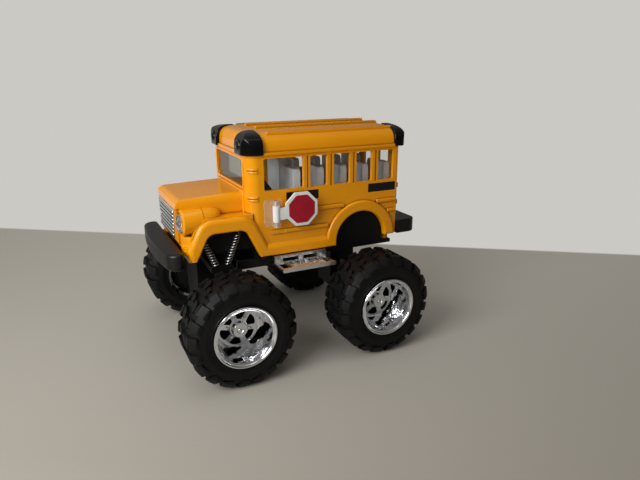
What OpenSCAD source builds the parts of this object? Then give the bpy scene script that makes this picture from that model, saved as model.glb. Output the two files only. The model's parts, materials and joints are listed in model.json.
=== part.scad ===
// Toy school bus on big off-road wheels: cast body, sprung front axle, pull-back motor on the rear axle
// Frame: +X forward, +Y to the bus's left, +Z up, origin on the floor under the middle of the bus

/* [Overall] */
// Distance between the axles
wheelbase = 66; // [64:1:70]
// Front axle to the front of the front bumper
front_overhang = 25.5; // [25:0.5:30]
// Rear axle to the back of the rear bumper
rear_overhang = 31.3; // [29:0.1:36]
// Axle height to the underside of the chassis
ride_h = 20; // [19:0.5:24]

/* [Wheels] */
// Outer radius of the tyres
tyre_r = 22.8; // [21:0.1:24]
// Width of a tyre
tyre_w = 21; // [18:0.5:22]
// Distance between the middles of the left and right tyres
track = 80.5; // [79:0.5:90]
// Depth of the tread
lug_h = 2.2; // [1:0.1:3]
// Lugs round one row of the tread
lug_count = 18; // [12:2:24]
// Share of the tread that is lug
lug_share = 0.62; // [0.4:0.01:0.75]
// Radius of the rims as a share of the tyres' radius
rim_share = 0.579; // [0.53:0.001:0.61]
// Wall of the rim barrel
rim_wall = 1.5; // [1:0.1:2]
// Depth of the dish from the lip to the spokes
dish_h = 6.5; // [4:0.1:8]
// Number of spokes
spokes = 6; // [4:1:8]
// Width of a spoke
spoke_w = 3.6; // [2:0.1:5]
// Radius of the hub
hub_r = 4.6; // [4:0.1:5.5]
// Diameter of the axles
axle_d = 3; // [2.4:0.1:3.6]

/* [Body] */
// Width of the body over its sides
body_w = 49; // [47:0.5:51]
// Wall of the casting
wall = 1.6; // [1.2:0.1:2]
// Front axle back to the windscreen
cab_back = 12; // [10:0.5:14]
// Front axle to the front of the bonnet
nose_reach = 17; // [16:0.5:20]
// Rear axle to the back of the body
tail_reach = 20; // [18:0.5:22]
// Radius of the front corner pillars
front_corner_r = 5; // [3:0.5:6]
// Radius of the rear corners
rear_corner_r = 1.2; // [1:0.1:3]
// Underside of the chassis to the bottom of the sides
sill_h = 3.2; // [2.6:0.1:4]
// Underside of the chassis to the bottom of the windows
waist_h = 31.7; // [30:0.1:34]
// Height of the windows
window_h = 13.5; // [11:0.5:16]
// Height of the band above the windows
header_h = 1.5; // [1.2:0.1:3]
// Length of the driver's window
driver_w = 18.2; // [14:0.2:20]
// Length of the corner pillar in front of it
pillar_w = 7.1; // [6:0.1:9]
// Width of the posts between the windows
post_w = 3.2; // [2:0.1:4]
// Width of the post behind the last window
tail_post_w = 3; // [2.6:0.1:5]
// Windows along one side behind the driver
window_count = 4; // [3:1:5]
// Corner radius of the windows
window_r = 0.8; // [0.4:0.1:1.5]
// Width of a rear window
rear_window_w = 9; // [6:0.5:10]
// Spacing of the rear windows
rear_window_gap = 13.5; // [11.5:0.5:14]
// Width of the windscreen
screen_w = 35; // [30:0.5:37]
// Height of the cowl between the bonnet and the windscreen
cowl_h = 3.2; // [2:0.1:5]

/* [Bonnet and wings] */
// Side of the body to the side of the bonnet
hood_inset = 6.5; // [5.5:0.1:7.5]
// Underside of the chassis to the top of the bonnet
hood_h = 31.2; // [29:0.1:33]
// Fall of the bonnet towards the front
hood_drop = 1.4; // [0:0.1:3]
// Shoulder radius of the bonnet
hood_r = 4; // [2:0.5:5]
// Underside of the chassis to the top of the wings
wing_h = 22.4; // [21.5:0.1:24]
// Corner radius of the wings at the nose
wing_r = 4; // [2:0.5:5]
// Height of the lamp bulges above the wings
bulge_h = 4; // [3:0.1:5]
// Distance of a bulge's outer face from the body's side
bulge_inset = 1.9; // [1:0.1:3]
// Front axle back to the rear of the bulges
bulge_back = 2; // [0:0.5:4]
// Underside of the chassis to the chin, where the front starts to slope back
chin_h = 12.7; // [11:0.1:14]
// Middle of a headlight to the grille's top corner
grille_gap = 4.1; // [3.9:0.1:6]
// Narrowing of the grille towards its bottom, each side
grille_taper = 1.6; // [0:0.1:3]
// Height of the grille
grille_h = 12.6; // [10:0.2:13]
// Chin to the bottom of the grille
grille_up = 0.4; // [0.2:0.1:2]
// Bars in the grille
grille_bars = 7; // [4:1:9]
// Diameter of the headlights
lamp_d = 7.6; // [6:0.2:8]
// Side of the body to the middle of the headlights
lamp_inset = 5.2; // [4.6:0.1:5.6]
// Chin to the middle of the headlights
lamp_up = 8.2; // [7:0.1:9]

/* [Arches and trim] */
// Underside of the chassis to the top of the front arches
arch_h = 16.2; // [15:0.1:17]
// Front axle back to the middle of the front arches
arch_back = 2.2; // [0:0.1:3]
// Half width of a front arch at the sill
arch_low = 14.3; // [13.5:0.1:15]
// Half width of a front arch at its top
arch_top = 7.9; // [6.5:0.1:9]
// Corner radius of the front arches
arch_r = 4.5; // [2:0.1:5]
// Radius of the rear arches
rear_arch_r = 12.95; // [11:0.05:14]
// Underside of the chassis to the middle of the rear arches
rear_arch_up = 5.1; // [4:0.1:7]
// Width of the flares round the arches
flare_w = 5; // [3:0.1:6]
// Reach of the flares beyond the sides
flare_out = 1.5; // [0.8:0.1:2]
// Height of the rocker band along the sill
rocker_h = 5.5; // [4:0.1:7]
// Height of the rub rails
rail_h = 1.7; // [1:0.1:3]
// Reach of the rub rails beyond the sides
rail_out = 0.7; // [0.4:0.1:1]

/* [Roof] */
// Gutter to the top of the roof
roof_h = 9.3; // [8:0.1:12]
// Squareness of the roof's section, 2 for an ellipse
roof_power = 4; // [2.4:0.1:5]
// Fall back of the roof's front
roof_rake = 6; // [5:0.5:9]
// Height of the gutter rim
gutter_h = 1.2; // [0.8:0.1:2]
// Reach of the gutter rim beyond the sides
gutter_out = 1; // [0.5:0.1:1.4]
// Height of the roof ribs
rib_h = 0.9; // [0.5:0.1:1.5]
// Width of the roof ribs
rib_w = 1.8; // [1:0.1:3]
// Middle of the roof to the inner ribs
rib_inner = 6.5; // [5:0.1:10]
// Middle of the roof to the outer ribs
rib_outer = 19.8; // [16:0.1:20.5]
// Width of a lamp pod
pod_w = 11.5; // [9:0.5:14]
// Height of a lamp pod
pod_h = 9; // [7:0.1:9.4]
// Length of a front pod along the roof's side
pod_l = 6.7; // [6:0.1:10]
// Length of a rear pod along the roof's side
rear_pod_l = 2.9; // [2.6:0.1:5]
// Stand of the pods outside the roof's sides and front
pod_proud = 1.4; // [0.8:0.1:1.8]
// Reach of the rear pods behind the roof
pod_out = 2.4; // [2:0.1:5]
// Depth of the pockets that hold the pods
pod_sink = 0.9; // [0.5:0.1:1]

/* [Glazing and cabin] */
// Thickness of the clear glazing
glass_t = 1; // [0.8:0.1:1.2]
// Overlap of the glazing below the windows
glass_lap = 2; // [1:0.1:3]
// Underside of the chassis to the cabin floor
floor_h = 14.4; // [13.5:0.1:16]
// Thickness of the cabin floor
floor_t = 1.4; // [1:0.1:2]
// Width of a bench
bench_w = 15; // [12:0.5:16]
// Length of a bench's cushion
bench_l = 6; // [4:0.5:7]
// Height of a bench's cushion
bench_h = 8; // [5:0.5:10]
// Height of the seat backs above the window bottoms
back_rise = 6; // [3:0.1:8]
// Thickness of the seat backs
back_t = 2.6; // [2:0.1:3]
// Length of the dashboard
dash_l = 6; // [4:0.5:7]
// Diameter of the steering wheel
steering_d = 9; // [7:0.5:10]
// Thickness of the steering wheel
steering_t = 1; // [0.8:0.1:1.4]

/* [Chassis and steps] */
// Thickness of the chassis plates
plate_t = 1.6; // [1.2:0.1:2]
// Length of the pad under the chassis that a stand takes hold of
pad_l = 24; // [16:1:26]
// Width of the pad
pad_w = 22; // [16:1:24]
// Height of the pad below the chassis
pad_h = 0.8; // [0.5:0.1:1.2]
// Diameter of the body posts that take the screws
post_d = 5; // [4:0.1:6]
// Diameter of the screws
screw_d = 2; // [1.6:0.1:2.4]
// Width of the front bumper
front_bumper_w = 57; // [52:1:60]
// Height of the front bumper
front_bumper_h = 7.2; // [5:0.2:9]
// Reach of the front bumper's ends back past its middle
bumper_wrap = 1.6; // [0:0.1:2]
// Bow of the front bumper
bumper_bow = 1.8; // [0:0.1:3]
// Width of the rear bumper
rear_bumper_w = 50.6; // [46:0.2:52]
// Height of the rear bumper
rear_bumper_h = 6.6; // [5:0.2:8]
// Length of a side step
step_l = 25; // [20:0.5:27]
// Reach of a side step beyond the body's side
step_out = 12; // [8:0.5:14]
// Height of a side step's back plate
step_h = 4; // [3.5:0.1:6]
// Length of the tread plate in the middle of a step
tread_l = 16; // [10:0.5:20]
// Cleats on a tread plate
cleats = 5; // [3:1:8]

/* [Front suspension] */
// Travel of the front axle
travel = 4.5; // [3:0.1:5]
// Height of the spring perch above the chassis's underside
perch_up = 1.2; // [0.5:0.1:1.5]
// Thickness of the perch beam
perch_t = 3; // [2:0.1:4]
// Diameter of the guide posts
guide_d = 5; // [4:0.1:6]
// Distance between the guide posts
guide_gap = 12; // [11:0.5:14]
// Half width of the carrier column
column_w = 10; // [8:0.5:12]
// Length of the carrier column
column_l = 16; // [12:0.5:17]
// Outer diameter of the springs
coil_d = 2.4; // [2:0.1:2.6]
// Wire diameter of the springs
wire_d = 0.4; // [0.3:0.05:0.4]
// Full coils in a spring
coils = 14; // [8:1:14]
// Spread of a spring pair at its feet, half of it
spring_foot = 2.2; // [1.6:0.1:3]
// Spread of a spring pair at its heads, half of it
spring_head = 8.3; // [5:0.1:9]

/* [Pull-back motor] */
// Width of the motor case
motor_w = 14; // [12:0.5:16]
// Length of the motor case
motor_l = 13; // [12.6:0.1:15]
// Wall of the motor case
motor_wall = 1.2; // [0.8:0.1:1.4]
// Module of the gears
gear_m = 0.65; // [0.6:0.01:0.68]
// Teeth of the pinion on the rear axle
pinion_teeth = 10; // [9:1:11]
// Teeth of the winding gear
winding_teeth = 14; // [12:1:14]
// Width of the gears
gear_w = 3; // [2:0.1:4]
// Diameter of the winding arbor
arbor_d = 2; // [1.6:0.1:2.4]
// Turns of the mainspring
spring_turns = 4; // [2:1:4]

/* [Stop arm] */
// Size of the octagon across its flats
sign_w = 14.6; // [12:0.2:16]
// Thickness of the sign
sign_t = 1.2; // [0.8:0.1:1.6]
// Hinge to the middle of the octagon
sign_reach = 11.4; // [10.5:0.1:13]
// Underside of the chassis to the middle of the octagon
sign_h = 23.4; // [22:0.1:25]
// Stand of the hinge from the body's side
hinge_out = 3; // [2.6:0.1:4]
// Diameter of the hinge barrel
barrel_d = 3.2; // [2.8:0.1:3.6]
// Diameter of the hinge pin
pin_d = 1.4; // [1:0.1:1.6]
// Height of the hinge
hinge_h = 11.4; // [9:0.2:13]

/* [Hidden] */

$fn = 48;

// Gap between pieces that are pushed together
fit = 0.1;
// Gap between pieces that pass each other
clear = 0.3;
// Radial running clearance of shafts and posts
run = 0.06;
// Radial clearance of pressed and screwed pieces
press = 0.02;
// Overrun of a cut past the face it opens
cut = 1;
// Sink of a raised feature into the wall that carries it
sink = 0.5;

overall_l = front_overhang + wheelbase + rear_overhang;
front_x = overall_l / 2 - front_overhang;
rear_x = front_x - wheelbase;
axle_z = tyre_r;
chassis_z = axle_z + ride_h;
plate_z = chassis_z + plate_t;

side_y = body_w / 2;
inner_y = side_y - wall;
screen_x = front_x - cab_back;
nose_x = front_x + nose_reach;
tail_x = rear_x - tail_reach;
sill_z = chassis_z + sill_h;
window_z = chassis_z + waist_h;
window_top = window_z + window_h;
gutter_z = window_top + header_h;
roof_z = gutter_z + roof_h;
hood_z = chassis_z + hood_h;
hood_y = side_y - hood_inset;
wing_z = chassis_z + wing_h;
bulge_z = wing_z + bulge_h;
bulge_y = side_y - bulge_inset;
lamp_y = side_y - lamp_inset;
grille_w = 2 * (lamp_y - grille_gap);
chin_z = chassis_z + chin_h;
lamp_z = chin_z + lamp_up;
grille_z = chin_z + grille_up;

driver_x1 = screen_x - pillar_w;
driver_x0 = driver_x1 - driver_w;
window_step = (driver_x0 - tail_x - tail_post_w) / window_count;
window_l = window_step - post_w;
door_z = wing_z - 2;
screen_z = hood_z + cowl_h;
screen_top = window_top - header_h / 2;

arch_x = front_x - arch_back;
arch_z = chassis_z + arch_h;
rear_arch_z = chassis_z + rear_arch_up;
rim_r = tyre_r * rim_share;
tip_x = arch_x + arch_low + clear * 3;
tip_z = sill_z + wall + cut;
flare_y = side_y + flare_out;

glass_y = inner_y - fit;
cabin_y = glass_y - glass_t;
floor_z = chassis_z + floor_h;
seat_top = window_z + back_rise;
dash_x1 = screen_x - wall - fit - glass_t - clear;
dash_x0 = dash_x1 - dash_l;

chassis_y = inner_y - clear;
chassis_x0 = tail_x + wall + clear;
panel_top_y = chassis_y - plate_t - clear;
bench_y = panel_top_y - bench_w / 2;
perch_z = chassis_z + perch_up;
front_plate_z = perch_z + travel + clear + fit;
plate_top = front_plate_z + plate_t;
ledge_z = arch_z - plate_t + fit;
ledge_y = chassis_y;
spring_y = ledge_y - coil_d / 2 - fit;
panel_y = spring_y - coil_d / 2 - clear;
panel_x1 = tip_x - wall - clear;
dash_z = ledge_z + plate_t + fit;
dash_y = panel_y + clear;
guide_top = floor_z - clear;
guide_y = guide_gap / 2;
belly_x = arch_x - arch_low;
front_end_x = nose_x + cut;
front_opening_y = hood_y - 2.6;
rear_post_x = tail_x + wall + post_d / 2 - clear;
front_post_x = belly_x - post_d - clear;
post_y = inner_y - post_d / 2 - 2;
screw_head = screw_d * 2;
screw_head_h = 1;

front_bumper_x = overall_l / 2;
front_bumper_z = front_plate_z + plate_t / 2 - front_bumper_h / 2;
rear_bumper_x = -overall_l / 2;
rear_bumper_z = rear_arch_z - sink;
pad_x = (belly_x + rear_x + motor_l / 2) / 2;
tongue_w = 16;
tongue_l = 8;

step_x = (belly_x + rear_x + rear_arch_r) / 2 + fit * 2;
step_z = sill_z - clear - step_h;
step_bar = 1.2;
step_plate_t = 0.9;

// Depth of the seats behind the headlights
lamp_seat = 1.2;

gear_play = 0.06;
gear_gap = gear_m * (pinion_teeth + winding_teeth) / 2 + gear_play;
arbor_z = axle_z + gear_gap;
motor_z = axle_z - motor_l / 2 + 1;
bearing_l = 8;

hinge_x = belly_x - flare_w - wall;
hinge_y = side_y + hinge_out;
sign_z = chassis_z + sign_h;
hinge_z = sign_z - sign_t - hinge_h / 2;
knuckle_h = 2;
knuckle_gap = 0.2;
bracket_t = 1;

// Thickness of the spokes, and the rim's step back from the tyre's inner face
spoke_t = 2.4;
rim_step = 1;
hub_inset = 2;

// Rings of points in one turn of a spring, sides of its wire, and turns with the two ends
rings = 8;
sides = 6;
all_turns = coils + 2;

// Outline helpers: points are [x, y, corner radius]
function unit(v) = v / norm(v);
function turn(a) = a > 180 ? a - 360 : a < -180 ? a + 360 : a;
function xy(p) = [p.x, p.y];
function fillet(a, b, c, r, n) =
    let (u = unit(a - b), v = unit(c - b), half = acos(u * v) / 2)
    let (reach = r / tan(half), centre = b + unit(u + v) * r / sin(half))
    let (p = b + u * reach - centre, q = b + v * reach - centre)
    let (start = atan2(p.y, p.x), sweep = turn(atan2(q.y, q.x) - start))
    [for (i = [0:n]) centre + r * [cos(start + sweep * i / n), sin(start + sweep * i / n)]];
function rounded(pts, n = 5) =
    let (m = len(pts))
    [for (i = [0:m - 1])
        let (a = pts[(i + m - 1) % m], b = pts[i], c = pts[(i + 1) % m])
        each (b.z > 0 ? fillet(xy(a), xy(b), xy(c), b.z, n) : [xy(b)])];
function box(x0, x1, y0, y1, r = 0) = [[x0, y0, r], [x1, y0, r], [x1, y1, r], [x0, y1, r]];

// Extrusions along each axis: the outline is drawn in (y, z), (x, z) or (x, y)
module along_x(x0, x1) {
    translate([x0, 0, 0]) rotate([90, 0, 90]) linear_extrude(x1 - x0) children();
}
module along_y(y0, y1) {
    translate([0, y1, 0]) rotate([90, 0, 0]) linear_extrude(y1 - y0) children();
}
module along_z(z0, z1) {
    translate([0, 0, z0]) linear_extrude(z1 - z0) children();
}
module rod_x(x0, x1, y, z, d) {
    translate([x0, y, z]) rotate([0, 90, 0]) cylinder(d = d, h = x1 - x0);
}
module rod_y(y0, y1, x, z, d) {
    translate([x, y1, z]) rotate([90, 0, 0]) cylinder(d = d, h = y1 - y0);
}
module rod_z(z0, z1, x, y, d) {
    translate([x, y, z0]) cylinder(d = d, h = z1 - z0);
}
module both_sides() {
    children();
    mirror([0, 1, 0]) children();
}
module on_side(side) {
    mirror([0, side < 0 ? 1 : 0, 0]) children();
}

// Outlines that more than one piece shares
function cab_plan(inset) =
    let (y = side_y - inset)
    let (r_front = max(front_corner_r - inset, clear), r_rear = max(rear_corner_r - inset, clear))
    rounded([
        [tail_x + inset, -y, r_rear], [screen_x - inset, -y, r_front],
        [screen_x - inset, y, r_front], [tail_x + inset, y, r_rear]
    ]);
function front_arch(grow) =
    let (slope = (arch_low - arch_top) / (arch_z - sill_z), low = sill_z - 2)
    let (foot = arch_low + slope * 2 + grow, head = arch_top + grow * (1 - slope))
    rounded([
        [arch_x - foot, low, 0], [arch_x + foot, low, 0],
        [arch_x + head, arch_z + grow, arch_r + grow / 2],
        [arch_x - head, arch_z + grow, arch_r + grow / 2]
    ]);
function grille_face(inset) =
    let (top = grille_w / 2 - inset, low = top - grille_taper)
    rounded([
        [-low, grille_z + inset, 1], [low, grille_z + inset, 1],
        [top, grille_z + grille_h - inset, 1], [-top, grille_z + grille_h - inset, 1]
    ]);
function roof_side(inset) =
    let (z = roof_z - inset)
    rounded([
        [tail_x + inset, gutter_z - inset, 0], [screen_x - inset, gutter_z - inset, 0],
        [screen_x - inset - roof_rake / 4, gutter_z + gutter_h, 2],
        [screen_x - inset / 2 - roof_rake, z, 4], [tail_x + inset, z, 5]
    ]);
function roof_at(y, inset = 0) =
    gutter_z + (roof_h - inset) * pow(1 - pow(abs(y) / (side_y - inset), roof_power), 1 / roof_power);
function roof_section(inset) =
    let (y = side_y - inset, n = 24, e = 2 / roof_power)
    concat(
        [[-y, gutter_z - wall], [y, gutter_z - wall]],
        [for (i = [0:n])
            let (c = cos(180 * i / n), s = sin(180 * i / n))
            [y * sign(c) * pow(abs(c), e), gutter_z + (roof_h - inset) * pow(abs(s), e)]]
    );

// Body casting
module wing_profile(inset) {
    polygon(rounded([
        [screen_x - wall - inset, sill_z - inset, 0],
        [tip_x - inset, sill_z - inset, 0], [tip_x - inset, tip_z, 0],
        [nose_x - inset, chin_z, 0], [nose_x - inset, wing_z - inset, inset > 0 ? 0 : 1.5],
        [screen_x - wall - inset, wing_z - inset, 0]
    ]));
}
module wings() {
    intersection() {
        along_y(-side_y, side_y) wing_profile(0);
        along_z(sill_z, wing_z) polygon(rounded([
            [screen_x - wall, -side_y, 0], [nose_x, -side_y, wing_r],
            [nose_x, side_y, wing_r], [screen_x - wall, side_y, 0]
        ]));
    }
}
module bonnet(inset) {
    x0 = inset > 0 ? screen_x : screen_x - wall;
    y = hood_y - inset;
    low = wing_z - wall - cut;
    intersection() {
        along_x(x0, nose_x - inset) polygon(rounded([
            [-y, low, 0], [y, low, 0], [y, hood_z - inset, hood_r], [-y, hood_z - inset, hood_r]
        ]));
        along_y(-side_y, side_y) polygon(rounded([
            [x0, low, 0], [nose_x - inset, low, 0],
            [nose_x - inset, hood_z - hood_drop - inset, 3], [x0, hood_z - inset, 0]
        ]));
    }
}
module lamp_bulge() {
    x0 = front_x - bulge_back;
    low = wing_z - 3;
    intersection() {
        along_x(x0, nose_x) polygon(rounded([
            [hood_y - 2, low, 0], [bulge_y, low, 0], [bulge_y, bulge_z, 3], [hood_y - 2, bulge_z, 0]
        ]));
        along_y(0, side_y) polygon(rounded([
            [x0, low, 0], [nose_x, low, 0], [nose_x, bulge_z, 1.5], [x0, bulge_z, 3]
        ]));
    }
}
module flares() {
    along_y(side_y - sink, flare_y) difference() {
        intersection() {
            polygon(front_arch(flare_w));
            polygon(rounded(box(belly_x - flare_w, tip_x + sink, sill_z, arch_z + flare_w + 1)));
        }
        polygon(front_arch(0));
    }
    along_y(side_y - sink, flare_y) difference() {
        translate([rear_x, rear_arch_z]) circle(r = rear_arch_r + flare_w);
        translate([rear_x, rear_arch_z]) circle(r = rear_arch_r);
        translate([rear_x - 2 * rear_arch_r, rear_arch_z - 2 * rear_arch_r])
            square([4 * rear_arch_r, 2 * rear_arch_r]);
    }
}
module rocker() {
    along_x(rear_x + rear_arch_r, belly_x) polygon([
        [side_y - sink, sill_z], [flare_y, sill_z], [flare_y, sill_z + rocker_h - flare_out],
        [side_y, sill_z + rocker_h], [side_y - sink, sill_z + rocker_h]
    ]);
}
module rub_rails() {
    high = wing_z - 1.4;
    low = sill_z + rocker_h + 4;
    behind = rear_x - rear_arch_r;
    ahead = rear_x + rear_arch_r;
    for (r = [[ahead - 4, hinge_x - 6, high], [ahead + 4, belly_x - flare_w, low],
              [tail_x + rear_corner_r, behind + 5, high], [tail_x + rear_corner_r, behind - 1, high - 5]])
        along_y(side_y - sink, side_y + rail_out)
            polygon(rounded(box(r[0], r[1], r[2], r[2] + rail_h, rail_h / 3)));
}
module body_posts() {
    for (x = [rear_post_x, front_post_x])
        rod_z(plate_z, floor_z, x, post_y, post_d);
    translate([front_post_x - post_d / 4, post_y, plate_z + plate_t])
        cube([post_d / 2, inner_y + sink - post_y, floor_z - plate_z - plate_t]);
}
module side_windows(pierce) {
    for (i = [0:window_count - 1]) {
        x1 = driver_x0 - post_w - i * window_step;
        along_y(inner_y - pierce, flare_y + cut)
            polygon(rounded(box(x1 - window_l, x1, window_z, window_top, window_r)));
    }
}
module driver_window() {
    along_y(inner_y - cut, flare_y + cut)
        polygon(rounded(box(driver_x0, driver_x1, window_z, window_top, window_r)));
}
module door_panes() {
    pane = (driver_w - post_w) / 2;
    for (x0 = [driver_x0 + post_w / 4, driver_x1 - post_w / 4 - pane])
        along_y(inner_y - cut, flare_y + cut)
            polygon(rounded(box(x0, x0 + pane, door_z, window_top, window_r)));
}
module end_windows() {
    along_x(screen_x - wall - cut, screen_x + cut)
        polygon(rounded(box(-screen_w / 2, screen_w / 2, screen_z, screen_top, 2)));
    for (k = [-1, 0, 1]) {
        y0 = k * rear_window_gap - rear_window_w / 2;
        along_x(tail_x - cut, tail_x + wall + cut)
            polygon(rounded(box(y0, y0 + rear_window_w, window_z, screen_top, window_r)));
    }
}
module lamp_sockets() {
    both_sides() {
        rod_x(nose_x - lamp_seat, nose_x + cut, lamp_y, lamp_z, lamp_d + 2 * fit);
        rod_x(nose_x - wall - cut, nose_x, lamp_y, lamp_z, lamp_d / 2 + 2 * fit);
    }
}
module casting() {
    difference() {
        union() {
            difference() {
                union() {
                    along_z(sill_z, gutter_z) polygon(cab_plan(0));
                    wings();
                    bonnet(0);
                    both_sides() lamp_bulge();
                }
                along_z(sill_z - cut, gutter_z + cut) polygon(cab_plan(wall));
                along_y(-inner_y, inner_y) wing_profile(wall);
                bonnet(wall);
            }
            both_sides() {
                flares();
                rocker();
                rub_rails();
            }
        }
        along_y(-flare_y - cut, flare_y + cut) polygon(front_arch(0));
        along_y(-flare_y - cut, flare_y + cut) translate([rear_x, rear_arch_z]) circle(r = rear_arch_r);
        translate([tail_x - cut, -flare_y - cut, sill_z - cut])
            cube([rear_x + rear_arch_r - tail_x + cut, 2 * flare_y + 2 * cut, rear_arch_z - sill_z + cut]);
        translate([belly_x, -front_opening_y, sill_z - cut])
            cube([front_end_x - belly_x, 2 * front_opening_y, plate_top + clear + cut - sill_z]);
        both_sides() side_windows(cut);
        driver_window();
        mirror([0, 1, 0]) door_panes();
        end_windows();
        along_x(nose_x - wall - cut, nose_x + cut) polygon(grille_face(0));
        lamp_sockets();
    }
}
module body_shell() {
    color("#f0a30a") difference() {
        union() {
            casting();
            both_sides() body_posts();
        }
        both_sides() for (x = [rear_post_x, front_post_x])
            rod_z(plate_z - cut, floor_z - wall, x, post_y, screw_d + 2 * press);
    }
}

// Roof and lamp pods
module roof_form(inset) {
    intersection() {
        along_y(-side_y, side_y) polygon(roof_side(inset));
        along_x(tail_x + inset, screen_x - inset) polygon(roof_section(inset));
        along_z(gutter_z - inset, roof_z) polygon(cab_plan(inset));
    }
}
module pod_block(x0, x1, rear_r, front_r, grow) {
    y0 = side_y - pod_w - grow;
    y1 = side_y + pod_proud + grow;
    z0 = gutter_z + fit - grow;
    z1 = gutter_z + fit + pod_h + grow;
    a = x0 - grow;
    b = x1 + grow;
    intersection() {
        along_y(y0, y1) polygon(rounded([[a, z0, 0], [b, z0, 0.6], [b, z1, front_r], [a, z1, rear_r]]));
        along_x(a, b) polygon(rounded([[y0, z0, 0], [y1, z0, 0.6], [y1, z1, pod_w / 2], [y0, z1, pod_w / 3]]));
        along_z(z0, z1) polygon(rounded([[a, y0, 0], [b, y0, front_r / 3], [b, y1, front_r], [a, y1, rear_r]]));
    }
}
module front_pod_zone(grow) {
    pod_block(screen_x - pod_l, screen_x + pod_proud, pod_l / 4, pod_l * 0.7, grow);
}
module rear_pod_zone(grow) {
    pod_block(tail_x - pod_out, tail_x + rear_pod_l, rear_pod_l, rear_pod_l / 2, grow);
}

module roof_ribs() {
    x0 = tail_x + 2;
    x1 = screen_x - roof_rake - 4;
    both_sides() for (y = [rib_inner, rib_outer]) {
        top = roof_at(y) + rib_h;
        low = roof_at(y + rib_w / 2) - sink;
        along_y(y - rib_w / 2, y + rib_w / 2)
            polygon(rounded([[x0, low, 0], [x1, low, 0], [x1 - 0.6, top, 0.3], [x0 + 0.6, top, 0.3]], 3));
    }
}
module roof() {
    color("#f0a30a") difference() {
        union() {
            roof_form(0);
            along_z(gutter_z, gutter_z + gutter_h) polygon(cab_plan(-gutter_out));
            along_z(gutter_z - header_h, gutter_z + sink) polygon(cab_plan(side_y - cabin_y + fit));
            roof_ribs();
        }
        intersection() {
            along_z(gutter_z - header_h - cut, roof_z) polygon(cab_plan(side_y - cabin_y + fit + wall));
            union() {
                roof_form(wall);
                along_z(gutter_z - header_h - cut, gutter_z + sink) polygon(cab_plan(wall));
            }
        }
        both_sides() {
            difference() {
                union() {
                    front_pod_zone(fit);
                    rear_pod_zone(fit);
                }
                roof_form(pod_sink + fit);
            }
        }
    }
}
module lamp_pod_front(side) {
    color("#101010") on_side(side) difference() {
        front_pod_zone(0);
        roof_form(pod_sink);
    }
}
module lamp_pod_rear(side) {
    color("#101010") on_side(side) difference() {
        rear_pod_zone(0);
        roof_form(pod_sink);
    }
}

// Glazing and cabin
module glazing() {
    color("#c8d4d8", 0.4) difference() {
        union() {
            along_z(window_z - glass_lap, gutter_z - fit) polygon(cab_plan(wall + fit));
            translate([driver_x0, -glass_y, door_z - glass_lap])
                cube([driver_w, glass_t, window_z - door_z]);
        }
        along_z(window_z - glass_lap - cut, gutter_z) polygon(cab_plan(wall + fit + glass_t));
    }
}
module bench(x) {
    translate([x, bench_y - bench_w / 2, floor_z + floor_t - sink]) cube([bench_l, bench_w, bench_h + sink]);
    along_x(x - back_t, x + sink) polygon(rounded(
        box(bench_y - bench_w / 2, bench_y + bench_w / 2, floor_z + floor_t - sink, seat_top, 0)
    ));
    along_x(x - back_t, x + sink) for (k = [-1, 1])
        polygon(rounded(box(bench_y + (k - 1) * bench_w / 4 + clear, bench_y + (k + 1) * bench_w / 4 - clear,
            seat_top - 2, seat_top + 1.4, 1.2)));
}
module seat_moulding() {
    x0 = tail_x + wall + fit + glass_t + clear;
    color("#b9b9b9") {
        translate([x0, -panel_top_y, floor_z]) cube([dash_x0 - clear - x0, 2 * panel_top_y, floor_t]);
        for (i = [0:window_count]) {
            x = x0 + back_t + i * window_step;
            bench(x);
            mirror([0, 1, 0]) bench(x - (i == window_count ? window_step / 3 : 0));
        }
    }
}
module dashboard() {
    t = steering_t;
    column_l = 4 * t;
    color("#202020") {
        along_y(-dash_y, dash_y) polygon(rounded([
            [dash_x0, dash_z, 0], [dash_x1, dash_z, 0], [dash_x1, screen_z - t / 2, t / 2],
            [dash_x1 - dash_l / 2, screen_z - t / 2, t], [dash_x0 - t, window_z - 2 * t, t],
            [dash_x0 + dash_l / 4, window_z - dash_l - 2 * t, 0]
        ]));
        translate([dash_x0 + t / 2, bench_y, window_z - dash_l / 2]) rotate([0, -55, 0]) {
            cylinder(d = 1.6 * t, h = column_l + t / 5);
            translate([0, 0, column_l]) difference() {
                cylinder(d = steering_d, h = t);
                translate([0, 0, -cut]) cylinder(d = steering_d - 2.2 * t, h = t + 2 * cut);
            }
            translate([(t - steering_d) / 2, -0.6 * t, column_l]) cube([steering_d - t, 1.2 * t, 0.8 * t]);
        }
    }
}

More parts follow.
